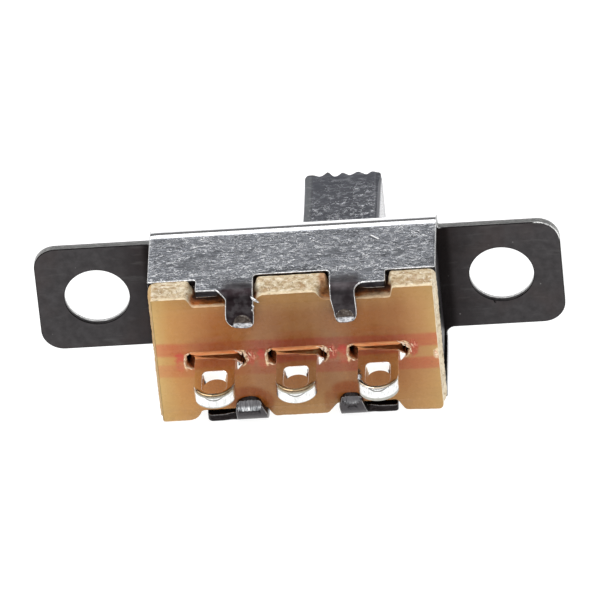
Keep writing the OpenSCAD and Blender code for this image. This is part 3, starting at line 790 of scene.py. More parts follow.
SLOT_L, SLOT_T, SLOT_B = 2.22, 0.285, -0.40          # the punched slots as they came out
M_NI, M_CUT, M_RIM = nickel("nickel_sheet"), nickel("nickel_cut_edge", "cut"), nickel("rim_burnish_and_painted_light", "rim")
M_IN, M_COIN = nickel("nickel_painted_shade_side", "inner"), nickel("struck_tip", "coin")
M_FACE, M_EDGE, M_SLOT = board_face("resin_face"), board_edge("punched_paper_edge"), slot_wall("slot_wall")
M_AG, M_AGB = silver("silver_plate"), silver("sheared_plate", True)
M_TUFT = tuft("torn_fibre")
M_PL, M_PI = plastic("grey_moulding"), plastic("carriage_moulding_painted_shade", True)
M_BZ = bronze("spring_bronze")

# ---------------------------------------------------------------- folded frame

BEND = 0.7
CY, CZ = FACE_Y - T + BEND, HW - BEND
STEP_X1, STEP_H = 3.52, 0.72
# outlines of the four tabs below their bend, outer side first, as (distance from the middle, height)
TABS = {
    ("t", 1): dict(tip=1.475, fr=0.07, corner=0.08, fillet="round", sh=3.46, pts=[(2.33, 2.69), (2.35, 2.29), (2.355, 1.95), (2.32, 1.70), (2.22, 1.56), (2.02, 1.485), (1.80, 1.475),
                                                   (1.65, 1.50), (1.565, 1.60), (1.52, 1.80), (1.50, 2.02), (1.46, 2.27), (1.42, 2.51), (1.385, 2.76)]),
    ("t", -1): dict(tip=1.48, fr=0.07, corner=0.06, fillet="bevel", sh=3.52, pts=[(2.41, 2.85), (2.45, 2.38), (2.475, 2.0), (2.44, 1.79), (2.335, 1.63), (2.17, 1.515), (1.95, 1.48), (1.70, 1.475),
                                                    (1.53, 1.54), (1.44, 1.70), (1.41, 1.99), (1.40, 2.25), (1.39, 2.75)]),
    ("b", -1): dict(tip=1.785, fr=0.28, corner=0.20, fillet="round", sh=3.54, pts=[(2.44, 2.62), (2.45, 2.33), (2.43, 2.08), (2.37, 1.97), (2.26, 1.87), (2.03, 1.79), (1.83, 1.785), (1.66, 1.83), (1.53, 1.95),
                                                    (1.44, 2.12), (1.36, 2.30), (1.30, 2.48), (1.28, 2.62)]),
    ("b", 1): dict(tip=1.86, fr=0.28, corner=0.12, fillet="round", sh=3.50, pts=[(2.37, 2.62), (2.31, 2.35), (2.23, 2.10), (2.15, 1.97), (2.02, 1.89), (1.80, 1.86), (1.60, 1.89), (1.475, 2.0),
                                                   (1.39, 2.16), (1.365, 2.35), (1.385, 2.6)]),
}

fi = np.linspace(0, pi / 2, 41)
fy, fz = -FA + FA * np.cos(fi), HZ + FB * np.sin(fi)
farc = np.concatenate([[0], np.cumsum(np.hypot(np.diff(fy), np.diff(fz)))])
S_1 = HZ + farc[-1]                        # blank coordinate where the wall starts
S_W = S_1 + WALL - FA                      # lower edge of the wall
S_SH = S_1 + WALL + STEP_H - FA            # lower edge of a shoulder
S_B0 = S_1 - CY - FA                       # start of a tab's bend
S_B1 = S_B0 + BEND * pi / 2


def half_path(tab):
    """One half of one long edge of the blank, from the ear to the middle."""
    er, fr = 0.85, tab["fr"]
    pts = [(x, S_B1 + CZ - z) for x, z in tab["pts"]]
    x1, x0, sh = pts[0][0], pts[-1][0], tab["sh"]
    p = arc(EAR_X - er, EAR_Z - er, er, 0, 90, 14)
    p += [(x, EAR_Z) for x in np.linspace(EAR_X - er, HB + fr, 8)][1:]
    p += arc(HB + fr, EAR_Z + fr, fr, 270, 180, 8)
    p += [(HB, S_W - 0.07)] + arc(HB - 0.07, S_W - 0.07, 0.07, 0, 90, 4)
    p += arc(sh + 0.09, S_W + 0.09, 0.09, 270, 180, 6)
    cr = tab["corner"]
    p += arc(sh - cr, S_SH - cr, cr, 0, 90, 7)
    if tab["fillet"] == "round":
        p += arc(x1 + 0.32, S_SH + 0.34, 0.32, 270, 180, 12, ry=0.34)
    else:
        p += [(x1 + 0.36, S_SH), (x1 + 0.31, S_SH + 0.02), (x1 + 0.05, S_SH + 0.30), (x1 + 0.01, S_SH + 0.38)]
    body = smooth_path([q for q in pts if q[1] > S_SH + 0.45] if pts[0][1] < S_SH + 0.45 else pts, 4)
    p += body
    up = 0.15 if tab["fr"] < 0.1 else 0.0
    p += [(x0, S_W + 0.18 - up)] + arc(x0 - 0.14, S_W + 0.14 - up, 0.14, 0, -90, 7)
    return p


def mirrored(p):
    return [(-x, s) for x, s in reversed(p)]


top_edge = half_path(TABS["t", 1]) + mirrored(half_path(TABS["t", -1]))
low_edge = half_path(TABS["b", 1]) + mirrored(half_path(TABS["b", -1]))
outer = clean(top_edge + [(x, -s) for x, s in reversed(low_edge)])
holes = [circle(-7.53, 0.01, 1.205, 72, cw=True), circle(7.49, 0.0, 1.195, 72, cw=True)] + [rounded(0, 0, 6.3, 2.7, 0.35, 8, cw=True)]
V, Fc, K = ring_solid([outer] + holes, 0.0, T, [0.034, 0.034, 0.034, 0.034], 0.03, 3)
KIND = {0: 0, 1: 1, 2: 2, 3: 3, 4: 2}
bm = to_bmesh(V, Fc, [KIND[k] for k in K])
fold_s = [HZ + float(np.interp(a, fi, farc)) for a in np.linspace(0, pi / 2, 25)]
bend_s = list(np.linspace(S_B0, S_B1, 19))
tip_s = list(np.arange(S_B1 + 0.03, S_B1 + CZ - 1.48, 0.035))
for sg in (1, -1):
    slice_bm(bm, 1, [sg * v for v in fold_s + bend_s + tip_s])
slice_bm(bm, 1, [sg * v for sg in (1, -1) for v in np.linspace(S_1 + 0.3, S_B0 - 0.1, 7)])
tabx = list(np.arange(1.36, 2.5, 0.04)) + [2.55, 2.62, 2.70, 2.8]
slice_bm(bm, 0, [sg * v for sg in (1, -1) for v in tabx])
slice_bm(bm, 0, list(np.linspace(-5.0, 5.0, 21)))


def press_at(x, z, sg):
    """How far the punch has pressed a tab's tip at this place, 0 to 1: half-moons of four different shapes."""
    ax, side = abs(x), 1 if x > 0 else -1
    if sg > 0:
        c, w, top, tip = (1.90, 0.37, 2.09, 1.475) if side > 0 else (1.87, 0.36, 2.08, 1.48)
        u = (ax - c) / w
        lim = top - (top - tip - 0.06) * (1 - math.sqrt(max(0.0, 1 - u * u)))
        return sm((lim - z) / 0.05) if abs(u) < 1.15 else 0.0
    c, w, low, flank = (1.84, 0.38, -2.31, -1.98) if side > 0 else (1.95, 0.46, -2.46, -2.06)
    u = (ax - c) / w
    lim = flank + (low - flank) * math.sqrt(max(0.0, 1 - u * u))
    return sm((z - lim) / 0.06) * sm((1.12 - abs(u)) / 0.15)


def fold_point(x, s, w):
    """Takes a point of the flat blank to its place on the folded frame."""
    sg, a = (1, s) if s >= 0 else (-1, -s)
    k = w / T
    if a <= HZ:
        return x, -w, sg * a
    if a <= S_1:
        t = float(np.interp(a - HZ, farc, fi))
        yo, zo = -FA + FA * math.cos(t), HZ + FB * math.sin(t)
        yi, zi = -FA + (FA - T) * math.cos(t), HZ + (FB - T) * math.sin(t)
        return x, yo + (yi - yo) * k, sg * (zo + (zi - zo) * k)
    flat = Vector((x, -FA - (a - S_1), sg * (HW - w)))
    tab = TABS["t" if sg > 0 else "b", 1 if x > 0 else -1]
    x1 = tab["pts"][0][0]
    loose = 1.0 - sm((abs(x) - x1 - 0.03) / 0.5)          # the shoulders stay straight beside the tab
    if a <= S_B0 or loose <= 0:
        return flat
    zt = sg * (CZ - max(0.0, a - S_B1))
    press = press_at(x, zt, sg) if a > S_B1 - 0.2 else 0.0
    q = (S_B1 + CZ - tab["tip"]) - a
    depth = 0.10 + (0.06 * sm((0.4 - q) / 0.4))
    rag = (0.012 * fbm(x * 11, a * 3.5, 3.0) + (0.012 * math.sin(x * 44) if sg < 0 else 0.0)) * press
    w2 = w + (press * depth + rag) * (1 - k)
    if sg < 0:
        a -= 0.11 * (1 - k) * sm((0.12 - q) / 0.12)         # the lower tips were sheared at a slant
    else:
        a += 0.115 * press * sm((0.45 - q) / 0.4)           # the struck metal ran out at the tip
    r = BEND - w2
    if a <= S_B1:
        t = (a - S_B0) / BEND
        bent = Vector((x, CY - r * math.sin(t), sg * (CZ + r * math.cos(t))))
    else:
        bent = Vector((x, CY - r, sg * (CZ - (a - S_B1))))
    return bent.lerp(flat, 1 - loose)


# the struck half-moons take the struck material; a ring round the upper right one takes the rim material, partly
# burnish and partly painted highlight
for f in bm.faces:
    c = f.calc_center_median()
    if f.material_index == 0 and abs(c.y) > S_B1 - 0.1 and c.z < 1e-6:
        sg = 1 if c.y > 0 else -1
        pr = press_at(c.x, sg * (CZ - (abs(c.y) - S_B1)), sg)
        if pr > 0.5:
            f.material_index = 4
        elif pr > 0.06 and sg > 0 and c.x > 0:
            f.material_index = 2
for v in bm.verts:
    v.co = fold_point(*v.co)
bmesh.ops.triangulate(bm, faces=[f for f in bm.faces if len(f.verts) > 4])
bmesh.ops.recalc_face_normals(bm, faces=bm.faces)
# a torn whisker and two flecks of burr on the edge of the upper left tab, one fleck in the right-hand hole
spike(bm, [(-1.52, -4.66, 2.77), (-1.44, -4.80, 2.74), (-1.33, -4.88, 2.69), (-1.23, -4.93, 2.65), (-1.15, -4.96, 2.60)], [0, 0.052, 0.056, 0.040, 0], 2, 7, 0.65, 0.4)
spike(bm, [(-1.47, -4.86, 2.53), (-1.42, -4.92, 2.49), (-1.385, -4.93, 2.43), (-1.40, -4.92, 2.37)], [0, 0.046, 0.038, 0], 2, 6, 0.8, 0.4)
spike(bm, [(-1.50, -4.90, 2.33), (-1.45, -4.93, 2.28), (-1.40, -4.93, 2.21)], [0, 0.042, 0], 2, 6, 0.8, 0.4)
spike(bm, [(7.08, -0.30, -1.12), (7.13, -0.33, -1.18), (7.16, -0.34, -1.24), (7.21, -0.33, -1.25)], [0, 0.022, 0.018, 0], 2, 6, 0.8, 0.3)
bmesh.ops.recalc_face_normals(bm, faces=bm.faces)
frame_ob = piece("frame_sheet", bm, [M_NI, M_CUT, M_RIM, M_IN, M_COIN], "housing")
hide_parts("frame")

# ---------------------------------------------------------------- terminal board


def poly_ring(corners, radius, step=0.05):
    """Corners rounded by radius, every edge cut into equal steps, so two rings with the same corners match."""
    out = []
    n = len(corners)
    P = [np.array(c, float) for c in corners]
    for i in range(n):
        a, b, c = P[i - 1], P[i], P[(i + 1) % n]
        u, v = (a - b) / np.linalg.norm(a - b), (c - b) / np.linalg.norm(c - b)
        r = min(radius, 0.45 * np.linalg.norm(a - b), 0.45 * np.linalg.norm(c - b))
        for t in np.linspace(0, 1, 4):
            out.append((1 - t) ** 2 * (b + u * r) + 2 * t * (1 - t) * b + t * t * (b + v * r))
        nxt = P[(i + 1) % n]
        dd = P[(i + 2) % n] - nxt
        r2 = min(radius, 0.45 * np.linalg.norm(b - nxt), 0.45 * np.linalg.norm(dd))
        s, e = b + v * r, nxt - v * r2
        k = BOARD_STEPS[i]
        for t in np.linspace(0, 1, k + 1)[1:-1]:
            out.append(s + (e - s) * t)
    return np.array(out)


def board_corners(g):
    """Counter-clockwise corners of the board in X and Z, on the outer face (g 0) or the inner layer (g 1)."""
    h, q = 5.19 + 0.7 * FLARE * g, 2.73 + FLARE * g
    fl = 2.33 + FLARE * g
    n = 0.6 * FLARE * g
    rt, lt = 0.05 + 0.17 * g, 0.05 + 0.20 * g
    qm, qa = q + 0.075 * g, q + 0.055 * g
    top = [(h, q - rt), (h - 0.3 * rt, q - 0.3 * rt), (h - rt, q), (3.70 - n, q), (3.60 - n, fl - 0.03), (1.36 + n, fl), (1.10 + 0.26 * g, 2.39 + 0.1 * g), (0.88 + 0.38 * g, qm),
           (-1.08 - 0.16 * g, qm), (-1.29 - 0.08 * g, 2.60), (-1.46, fl), (-3.66 + n, fl), (-3.88 + 0.06 * g, qa), (-h + lt, qa), (-h + 0.3 * lt, qa - 0.3 * lt), (-h, qa - lt)]
    ql, qr = 2.755 + 0.3 * FLARE * g, 2.87
    low = [(-h, -ql), (-4.15 + n, -ql), (-3.95 + n, -ql + 0.06), (-3.82 + n, -ql + 0.19), (-3.71 + n, -fl - 0.03), (-3.58 + n, -fl + 0.01), (-1.30 - n, -fl), (-1.19 - n, -2.55), (-1.045 - n, -ql),
           (0.93 + n, -ql - 0.01), (1.31 + n, -fl), (3.50 - n, -fl), (3.65 - n, -2.60), (3.78 - n, -ql - 0.05), (5.05, -qr), (h - 0.03, -qr + 0.08), (h, -qr + 0.24)]
    return top + low


BL, BW = 10.38, 5.46
FLARE = B1[2] - BW / 2
c_out, c_in = board_corners(0.0), board_corners(1.0)
BOARD_STEPS = [max(2, int(math.dist(c_out[i], c_out[(i + 1) % len(c_out)]) / 0.045)) for i in range(len(c_out))]
R_out, R_in = poly_ring(c_out, 0.09), poly_ring(c_in, 0.09)
nb = len(R_out)
tang = np.roll(R_out, -1, 0) - np.roll(R_out, 1, 0)
tang /= np.linalg.norm(tang, axis=1)[:, None]
outw = np.stack([tang[:, 1], -tang[:, 0]], 1)
run = np.concatenate([[0], np.cumsum(np.linalg.norm(np.diff(R_out, axis=0), axis=1))])
BT = BOARD_Y - FACE_Y

V, Fc, K = [], [], []
levels = [0.0, 0.012, 0.035, 0.07] + list(np.linspace(0.12, BT - 0.02, 17)) + [BT]
rings = []
for li, d in enumerate(levels):
    t = d / BT
    mixk = min(1.0, max(0.0, (t - 0.34) / 0.22))
    mixk = mixk * mixk * (3 - 2 * mixk)
    ring = []
    for i in range(nb):
        p = R_out[i] * (1 - mixk) + R_in[i] * mixk
        sx = run[i]
        rough = 0.35 + 0.65 * min(1.0, max(0.0, (t - 0.1) / 0.4))
        off = (0.022 * fbm(sx * 3.0, d * 16.0, 1.0, 3) + 0.016 * fbm(sx * 9.0, d * 9.0, 7.0, 2)) * rough
        # a split between two plies, open here and there
        open_ = max(0.0, noise.noise(Vector((sx * 0.55, 4.2, 0.3))) + 0.12)
        off -= min(0.06, 0.12 * open_) * math.exp(-((t - 0.47 - 0.04 * noise.noise(Vector((sx * 1.7, 0, 0)))) / 0.045) ** 2)
        if d < 0.03:
            off -= 0.02 * (1 - d / 0.03)
        off = min(off, 0.0 if abs(p[1]) > 2.7 and mixk > 0.9 else 0.015)
        q = p + outw[i] * off
        lift = 0.010 * fbm(sx * 4.0, 2.0, 8.0, 2) if li == 0 else 0.0
        ring.append(len(V))
        V.append((q[0], FACE_Y + d + max(0.0, lift), q[1]))
    rings.append(ring)
for a, b in zip(rings[:-1], rings[1:]):
    for i in range(nb):
        j = (i + 1) % nb
        Fc.append((a[i], a[j], b[j], b[i]))
        K.append(1)


def slot_ring(k, grow, rag, y, ends=0.0):
    cz, hgt = (SLOT_T + SLOT_B) / 2, SLOT_T - SLOT_B
    pts = rounded(k * PITCH, cz, SLOT_L, hgt, 0.27, 9, cw=True)
    P = np.array(pts)
    Q = []
    for i in range(len(P)):
        a, b = P[i], P[(i + 1) % len(P)]
        m = max(1, int(np.linalg.norm(b - a) / 0.04))
        Q += [a + (b - a) * t for t in np.linspace(0, 1, m, endpoint=False)]
    out = []
    for q in Q:
        c = q - np.array((k * PITCH, cz))
        e = sm((abs(c[0]) - 0.80) / 0.25)
        n = fbm(q[0] * 6 + k, q[1] * 6, y * 5, 3) * 0.055 * e * rag
        core = np.array((math.copysign(max(0.0, abs(c[0]) - 0.95), c[0]), c[1]))
        d = core / max(1e-6, np.linalg.norm(core))
        out.append((q + d * (grow + ends * e + n), e))
    return out


slot_tops, slot_bots, face_rings = [], [], []
for k in (-1, 0, 1):
    prev = None
    # (height above the face, more of it at the torn ends, growth, more growth at the ends, raggedness)
    for lift, lend, grow, gend, rag in ((0.0, 0.0, 0.030, 0.045, 0.8), (0.007, 0.030, 0.018, 0.028, 0.8), (0.009, 0.045, 0.008, 0.010, 0.8), (0.0, 0.02, 0.0, 0.0, 0.9),
                                        (-0.012, 0.0, 0.0, -0.006, 1.0), (-0.035, 0.0, -0.002, -0.012, 1.3), (-0.065, 0.0, 0.0, -0.015, 1.2), (-0.10, 0.0, 0.0, -0.02, 1.1), (-0.3, 0.0, 0.0, 0.0, 0.6), (FACE_Y - BOARD_Y, 0.0, 0.0, 0.0, 0.2)):
        ring = []
        for (q, e) in slot_ring(k, grow, rag, lift, gend):
            lump = 1 + 0.8 * fbm(q[0] * 8, q[1] * 8, 2.5 + k, 2)
            ring.append(len(V))
            depth = -lift if lift < 0 else 0.0
            roll = min(1.0, depth / 0.10) * sm((0.97 - abs(q[0] - k * PITCH)) / 0.16)
            z = q[1] - roll * max(0.0, q[1] - PIN_Z - 0.29)
            V.append((q[0], FACE_Y - lift - lend * e * max(0.2, lump), z))
        if prev is None:
            face_rings.append(ring)
        else:
            n = len(ring)
            for i in range(n):
                j = (i + 1) % n
                Fc.append((prev[i], prev[j], ring[j], ring[i]))
                K.append(0 if grow > 0.02 else 2)
        prev = ring
    slot_bots.append(prev)


def cap(loops, want_y):
    idx = [i for lp in loops for i in lp]
    polys = [[Vector((V[i][0], V[i][2], 0)) for i in lp] for lp in loops]
    for t in tessellate_polygon(polys):
        a, b, c = (idx[i] for i in t)
        A, B, C = (np.array(V[i], float) for i in (a, b, c))
        n = np.cross(B - A, C - A)
        if abs(n[1]) < 1e-10:
            continue
        Fc.append((a, b, c) if n[1] * want_y > 0 else (a, c, b))
        K.append(0)


cap([rings[0]] + face_rings, -1)
cap([rings[-1]] + slot_bots, 1)
bm = to_bmesh(V, Fc, K)
bmesh.ops.recalc_face_normals(bm, faces=bm.faces)
# torn fibres at the slots' ends and a lifted chip on the right edge
F = FACE_Y
for k in (-1, 0, 1):
    cx = k * PITCH
    rnd = np.random.RandomState(11 + k)
    right = [((0.70, 0.335), (1.02, 0.22)), ((1.00, 0.26), (1.20, 0.05)), ((1.20, 0.22), (1.30, 0.02)), ((1.16, 0.0), (1.20, -0.22))]
    left = [((-1.10, 0.20), (-1.19, -0.02)), ((-1.17, -0.02), (-1.13, -0.26)), ((-1.10, -0.26), (-0.90, -0.44)), ((-1.06, 0.27), (-0.94, 0.33))]
    for (a, b) in (right if k != 0 else right[:3]) + (left if k != 1 else left[1:]):
        a, b = np.array(a), np.array(b)
        j = rnd.uniform(-0.02, 0.02, (5, 2))
        y = F - 0.02 - rnd.uniform(0, 0.035)
        pts = [(cx + (a + (b - a) * t)[0] + j[i][0], y - 0.02 * math.sin(pi * t), (a + (b - a) * t)[1] + j[i][1]) for i, t in enumerate(np.linspace(0, 1, 5))]
        r = rnd.uniform(0.020, 0.032)
        spike(bm, pts, [0, r, r * 1.1, r * 0.8, 0], 3, 6, 0.7, 0.8)
    # the slot's upper edge was rolled in and closes on the lug
    xs = np.linspace(-0.96, 1.03, 25)
    lip = [(cx + x, F + 0.045 + 0.012 * fbm(x * 4, k, 1.0, 2), 0.243 + 0.010 * fbm(x * 5, k, 7.0, 2)) for x in xs]
    spike(bm, lip, [0] + [0.086 * min(1.0, 0.45 + 0.2 * min(i, 24 - i)) for i in range(1, 24)] + [0], 0, 10, 0.55, 0.2)
    low_lip = [(cx + x, F + 0.014 + 0.006 * fbm(x * 5, k, 3.0, 2), 0.182 + 0.006 * fbm(x * 6, k, 5.0, 2)) for x in np.linspace(-0.80, 0.84, 21)]
    spike(bm, low_lip, [0] + [0.036 * min(1.0, 0.5 + 0.2 * min(i, 20 - i)) for i in range(1, 20)] + [0], 0, 8, 0.8, 0.3)
    for a, b, r in (((0.74, 0.315), (1.05, 0.16), 0.030), ((1.04, 0.26), (1.10, -0.03), 0.044), ((0.86, 0.215), (1.00, 0.10), 0.026)):
        a, b = np.array(a), np.array(b)
        pts = [(cx + (a + (b - a) * t)[0] + 0.02 * math.sin(7 * t + k), F - 0.015 - 0.02 * math.sin(pi * t), (a + (b - a) * t)[1]) for t in np.linspace(0, 1, 6)]
        spike(bm, pts, [0, r * 0.9, r, r * 1.1, r * 0.7, 0], 3, 7, 0.7, 0.7)
spike(bm, [(5.02, F + 0.01, -0.18), (5.07, F - 0.02, -0.26), (5.10, F - 0.03, -0.36), (5.16, F + 0.0, -0.50)], [0, 0.05, 0.06, 0], 3, 7, 0.5, 0.8)
bmesh.ops.recalc_face_normals(bm, faces=bm.faces)
board_ob = piece("terminal_board_punched", bm, [M_FACE, M_EDGE, M_SLOT, M_TUFT], "housing")
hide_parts("terminal_board")

# ---------------------------------------------------------------- terminals


def terminal_loop():
    h, f, b = 0.755, FACE_Y, BOARD_Y
    p = arc(0, TIP_Y + h, h, 180, 360, 40)
    p += [(h, y) for y in np.linspace(TIP_Y + h, f - 0.33, 8)][1:]
    p += [(h + 0.215, f - 0.10), (h + 0.225, f + 0.02), (h + 0.225, b), (1.2, b), (1.2, b + 0.3),
          (0.95, b + 0.3), (0.95, -1.95), (0.88, -1.77), (0.7, -1.7)]
    p += [(-0.7, -1.7), (-0.88, -1.77), (-0.95, -1.95), (-0.95, b + 0.3), (-1.2, b + 0.3), (-1.2, b), (-0.98, b),
          (-0.98, f + 0.3), (-h - 0.12, f + 0.16), (-h - 0.03, f - 0.02), (-h, f - 0.1)]
    p += [(-h, y) for y in np.linspace(f - 0.16, TIP_Y + h, 9)][:-1]
    return clean(p)


def eye_loop():
    cy, w, l = TIP_Y + 0.20 + 0.67, 0.46, 0.67
    p = [(w, y) for y in np.linspace(cy - 0.29, cy + 0.47, 8)[1:-1]] + arc(w - 0.2, cy + l - 0.2, 0.2, 0, 90, 10)
    p += [(x, cy + l) for x in np.linspace(w - 0.2, 0.2 - w, 12)[1:-1]] + arc(-w + 0.2, cy + l - 0.2, 0.2, 90, 180, 10)
    p += [(-w, y) for y in np.linspace(cy + 0.47, cy - 0.29, 8)[1:-1]]
    p += arc(0, cy - l + 0.38, w, 180, 360, 22, ry=0.38)
    return clean(p)[::-1]


for name, k in (("terminal_left", -1), ("terminal_common", 0), ("terminal_right", 1)):
    cxk = k * PITCH
    loops = [terminal_loop(), eye_loop()]
    seg, rim = 5, np.array(loops[0])
    # the top rolls over towards the tip, where the shear dragged it down
    roll = 0.022 + 0.10 * np.clip((TIP_Y + 0.62 - rim[:, 1]) / 0.35, 0, 1) ** 1.5
    V, Fc, K = ring_solid(loops, -0.25, 0.25, [0.04, 0.03], [roll, 0.02], seg, mid=[(-0.10, 0.004, 5), (0.06, 0.0, 6)])
    # the punch broke out round below, so the eye's far wall leans back in the middle
    cy = TIP_Y + 0.87
    for i in range(len(V)):
        x, y, h = V[i]
        if abs(x) > 0.5 or not cy - 0.31 < y < cy + 0.75:
            continue
        if y < cy + 0.47:
            tx, ty = x, y - 0.04 * (y - cy + 0.29) / 0.76
        else:
            run_s = 0.2 * math.atan2(y - cy - 0.47, abs(x) - 0.26) if abs(x) > 0.26 else 0.314 + 0.26 - abs(x)
            th = pi / 2 * min(1.0, run_s / 0.574)
            tx, ty = math.copysign(0.46 * math.cos(th), x), cy + 0.43 + 0.50 * math.sin(th)
        t = min(1.0, max(0.0, (0.17 - h) / 0.36))
        V[i] = (x + (tx - x) * t, y + (ty - y) * t, h)
    low = {5: 1, 1: 1, 2: 1}
    bm = to_bmesh(V, Fc, [low.get(kk, 0) for kk in K])
    # the flat underside is filled again around the moved rim
    under = [f for f in bm.faces if all(abs(v.co.z + 0.25) < 1e-6 for v in f.verts)]
    bmesh.ops.delete(bm, geom=under, context="FACES_ONLY")
    bmesh.ops.triangle_fill(bm, use_beauty=True, use_dissolve=False, edges=[e for e in bm.edges if e.is_boundary])
    slice_bm(bm, 1, [y for y in np.linspace(TIP_Y + 0.1, FACE_Y - 0.1, 14)])
    for v in bm.verts:
        x, y, h = v.co
        # a slight bow: the lug is a little thicker to the eye at its tip, where the shear dragged it down
        t = sm((FACE_Y - y) / 2.4)
        if FACE_Y - 0.4 < y < BOARD_Y - 0.3 and x > 0.757:
            h = min(h, 0.25 - 1.6 * (x - 0.755))             # the sheared shoulder beside the slot
        droop = {"terminal_left": 0.03, "terminal_common": 0.0, "terminal_right": 0.10}[name] * t
        v.co = (cxk + x, y, PIN_Z + h - droop + (0.022 if v.co.z > 0 else -0.02 - 0.03 * t))
    bmesh.ops.triangulate(bm, faces=[f for f in bm.faces if len(f.verts) > 4])
    bmesh.ops.recalc_face_normals(bm, faces=bm.faces)
    # the outer tip's end face shows the shear; every other wall is bright
    for f in bm.faces:
        c = f.calc_center_median()
        f.material_index = 1 if (f.material_index != 0 or abs(f.normal.z) < 0.5) and c.y < TIP_Y + 0.72 and math.hypot(c.x - cxk, c.y - TIP_Y - 0.755) > 0.68 else 0
    ob = piece(name + "_lug", bm, [M_AG, M_AGB], "housing")
    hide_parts(name)

# ---------------------------------------------------------------- handle and carriage

KL, KW = 2.8, 2.5
# the crest, from the left side to the right, as (distance along, height over the lowest ridge)
CREST = [(0.0, -0.31), (0.012, -0.20), (0.055, -0.075), (0.12, -0.008), (0.255, 0.004), (0.375, -0.03), (0.54, -0.11), (0.67, -0.035), (0.765, 0.085),
         (0.84, 0.135), (0.92, 0.075), (1.01, -0.075), (1.115, -0.16), (1.235, -0.10), (1.34, 0.03), (1.43, 0.058), (1.535, -0.03), (1.655, -0.115),
         (1.79, -0.055), (1.91, 0.045), (2.02, 0.055), (2.14, -0.03), (2.29, -0.13), (2.395, -0.04), (2.50, 0.03), (2.62, 0.002), (2.715, -0.055),
         (2.775, -0.13), (2.80, -0.27)]
crest = [(x - KL / 2, KNOB_Y - 0.03 + y) for x, y in smooth_path(CREST, 4)][::-1]
loop = [(-KL / 2, -0.6), (KL / 2, -0.6)]
loop += [(KL / 2, y) for y in np.linspace(-0.3, KNOB_Y - 0.50, 24)]
loop += crest
loop += [(-KL / 2, y) for y in np.linspace(KNOB_Y - 0.50, -0.3, 24)]
# drafted sides: wider at the foot on the left, wider at the top on the right, with a small burr there
loop = [(x + (0.015 + 0.035 * sm((y - 1.0) / 3.5) + 0.045 * math.exp(-((y - KNOB_Y + 0.56) / 0.1) ** 2) if x > 1.3 else -0.02 - 0.035 * sm((3.5 - y) / 3.5) if x < -1.3 else 0.0), y)
        for x, y in loop]
loop = clean(loop, 1e-3)
rad = []
for x, y in loop:
    side = y < KNOB_Y - 0.42
    rad.append(2.6 if side else 1.0)
rad = list(np.convolve(rad[-2:] + rad + rad[:2], np.ones(5) / 5, "valid"))
V, Fc, K = ring_solid([loop], -KW / 2, KW / 2, 0.05, 0.05, 5, radii=[rad])
bm = to_bmesh(V, Fc, [0] * len(K))
slice_bm(bm, 1, list(np.linspace(0.2, KNOB_Y - 0.5, 9)))
for v in bm.verts:
    x, y, z = v.co
    v.co = (KNOB_X + x, y, z)
bmesh.ops.triangulate(bm, faces=[f for f in bm.faces if len(f.verts) > 4])
bmesh.ops.recalc_face_normals(bm, faces=bm.faces)
knob = piece("handle", bm, [M_PL], "slide")
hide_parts("slider")

# carriage: a block with a pocket and a channel, cut in one go
y0, y1 = SKIRT_Y, -T - 0.05
cl, cw = 2 * 3.6, 5.0


def solid_from(loops, a, b, r0, r1, axis="y"):
    V, Fc, K = ring_solid(loops, a, b, r0, r1, 2)
    me = bpy.data.meshes.new("cut")
    bmx = to_bmesh(V, Fc, [0] * len(K))
    for v in bmx.verts:
        x, s, h = v.co
        v.co = (x, -h, s)
    bmesh.ops.recalc_face_normals(bmx, faces=bmx.faces)
    bmx.to_mesh(me)
    bmx.free()
    ob = bpy.data.objects.new("cut", me)
    bpy.context.scene.collection.objects.link(ob)
    return ob


blk = solid_from([rounded(KNOB_X, 0, cl, cw, 0.25, 8)], -y1, -y0, 0.05, 0.05)
pocket = solid_from([rounded(KNOB_X, PIN_Z, 4.9, 1.4, 0.05, 3)], 0.95, 3.5, 0.02, 0.02)
chan = solid_from([rounded(KNOB_X, PIN_Z, 20, 0.9, 0.05, 3)], 1.5, 3.5, 0.02, 0.02)
for c in (pocket, chan):
    md = blk.modifiers.new("b", "BOOLEAN")
    md.operation, md.object, md.solver = "DIFFERENCE", c, "EXACT"
dg = bpy.context.evaluated_depsgraph_get()
dg.update()
me = bpy.data.meshes.new_from_object(blk.evaluated_get(dg))
for o in (blk, pocket, chan):
    bpy.data.objects.remove(o)
bm = bmesh.new()
bm.from_mesh(me)
bmesh.ops.remove_doubles(bm, verts=bm.verts, dist=1e-5)
for f in bm.faces:
    f.smooth = True
    f.material_index = 0
car = piece("carriage", bm, [M_PI], "slide", sharp=40)
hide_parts("slider")

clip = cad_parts["contact_clip"]
clip.data.materials.clear()
clip.data.materials.append(M_BZ)

# ---------------------------------------------------------------- floor, light, camera

bm = bmesh.new()
bmesh.ops.create_grid(bm, x_segments=1, y_segments=1, size=3.0)
me = bpy.data.meshes.new("floor")
bm.to_mesh(me)
bm.free()
floor = bpy.data.objects.new("floor", me)
floor.location = (0, 0, FLOOR_Z * MM - 2e-6)
bpy.context.scene.collection.objects.link(floor)
fm = Shade("pale_floor", Roughness=0.7, Specular_IOR_Level=0.2)
fm.bsdf.inputs["Base Color"].default_value = (0.25, 0.25, 0.25, 1)
fm.bsdf.inputs["Emission Color"].default_value = (1, 1, 1, 1)
fm.bsdf.inputs["Emission Strength"].default_value = 0.93
floor.data.materials.append(fm.mat)

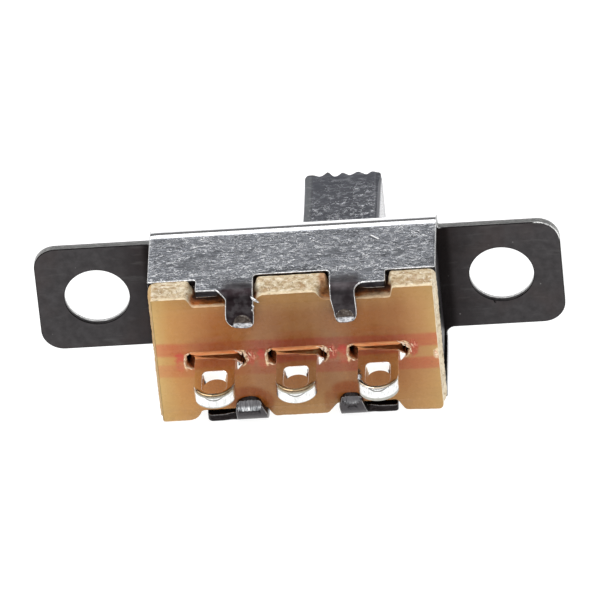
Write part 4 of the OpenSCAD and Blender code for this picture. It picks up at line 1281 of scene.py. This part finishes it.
world = bpy.data.worlds.new("studio")
bpy.context.scene.world = world
world.use_nodes = True
nt = world.node_tree
nt.nodes.clear()
wo = nt.nodes.new("ShaderNodeOutputWorld")
bg = nt.nodes.new("ShaderNodeBackground")
nt.links.new(bg.outputs[0], wo.inputs[0])
tc = nt.nodes.new("ShaderNodeTexCoord")
sep = nt.nodes.new("ShaderNodeSeparateXYZ")
nt.links.new(tc.outputs["Generated"], sep.inputs[0])
mr = nt.nodes.new("ShaderNodeMapRange")
mr.inputs["From Min"].default_value, mr.inputs["From Max"].default_value = -1, 1
nt.links.new(sep.outputs[2], mr.inputs["Value"])
cr = nt.nodes.new("ShaderNodeValToRGB")
nt.links.new(mr.outputs["Result"], cr.inputs[0])


def at(elev):
    return (math.sin(math.radians(elev)) + 1) / 2


def grey(v):
    return (v, v, v * 1.01, 1)


stops = [(-90, 1.15), (7.5, 1.15), (9.2, 0.9), (10.8, 0.28), (12.5, 0.12), (18.0, 0.12), (20.5, 0.28), (22.3, 2.4), (28.0, 2.6), (30.0, 0.34), (54.0, 0.34), (64.0, 1.5), (90, 2.2)]
e = cr.color_ramp.elements
e[0].position, e[0].color = at(stops[0][0]), grey(stops[0][1])
e[1].position, e[1].color = at(stops[-1][0]), grey(stops[-1][1])
for el, v in stops[1:-1]:
    x = e.new(at(el))
    x.color = grey(v)
nt.links.new(cr.outputs[0], bg.inputs["Color"])
bg.inputs["Strength"].default_value = 1.0


def area(name, loc, target, size, power, size_y=None):
    ld = bpy.data.lights.new(name, "AREA")
    ld.shape = "RECTANGLE"
    ld.size, ld.size_y = size, size_y or size
    ld.energy = power
    ob = bpy.data.objects.new(name, ld)
    bpy.context.scene.collection.objects.link(ob)
    ob.location = loc
    ob.rotation_mode = "QUATERNION"
    ob.rotation_quaternion = (Vector(target) - Vector(loc)).to_track_quat("-Z", "Y")
    return ob


area("key", (-0.25, 0.05, 0.5), (0, 0, 0), 0.3, 1.2)

# camera: a long lens at the photograph's viewing angle
f_px, dist = 12000.0, 0.44409
right = Vector((0.99618881, 0.02081806, -0.08470224))
up = Vector((0.05716159, 0.57767604, 0.81426221))
fwd = Vector((-0.06588182, 0.81600061, -0.57428442))
u0, v0 = 299.87, 281.17
a_, b_ = (u0 - 300) / f_px * dist, -(v0 - 300) / f_px * dist
Rm = Matrix((right, up, fwd))
loc = Rm.inverted() @ Vector((-a_, -b_, -dist))
cam_d = bpy.data.cameras.new("camera")
cam_d.sensor_width = 36.0
cam_d.lens = 36.0 * f_px / 600
cam_d.clip_start, cam_d.clip_end = 0.05, 20
cam = bpy.data.objects.new("camera", cam_d)
bpy.context.scene.collection.objects.link(cam)
back = -fwd
cam.matrix_world = Matrix(((right[0], up[0], back[0], loc[0]), (right[1], up[1], back[1], loc[1]), (right[2], up[2], back[2], loc[2]), (0, 0, 0, 1)))
bpy.context.scene.camera = cam
bpy.context.scene.view_settings.view_transform = "Standard"
bpy.context.scene.view_settings.look = "None"
bpy.context.scene.view_settings.exposure = 0.0
bpy.context.scene.view_settings.gamma = 1.0
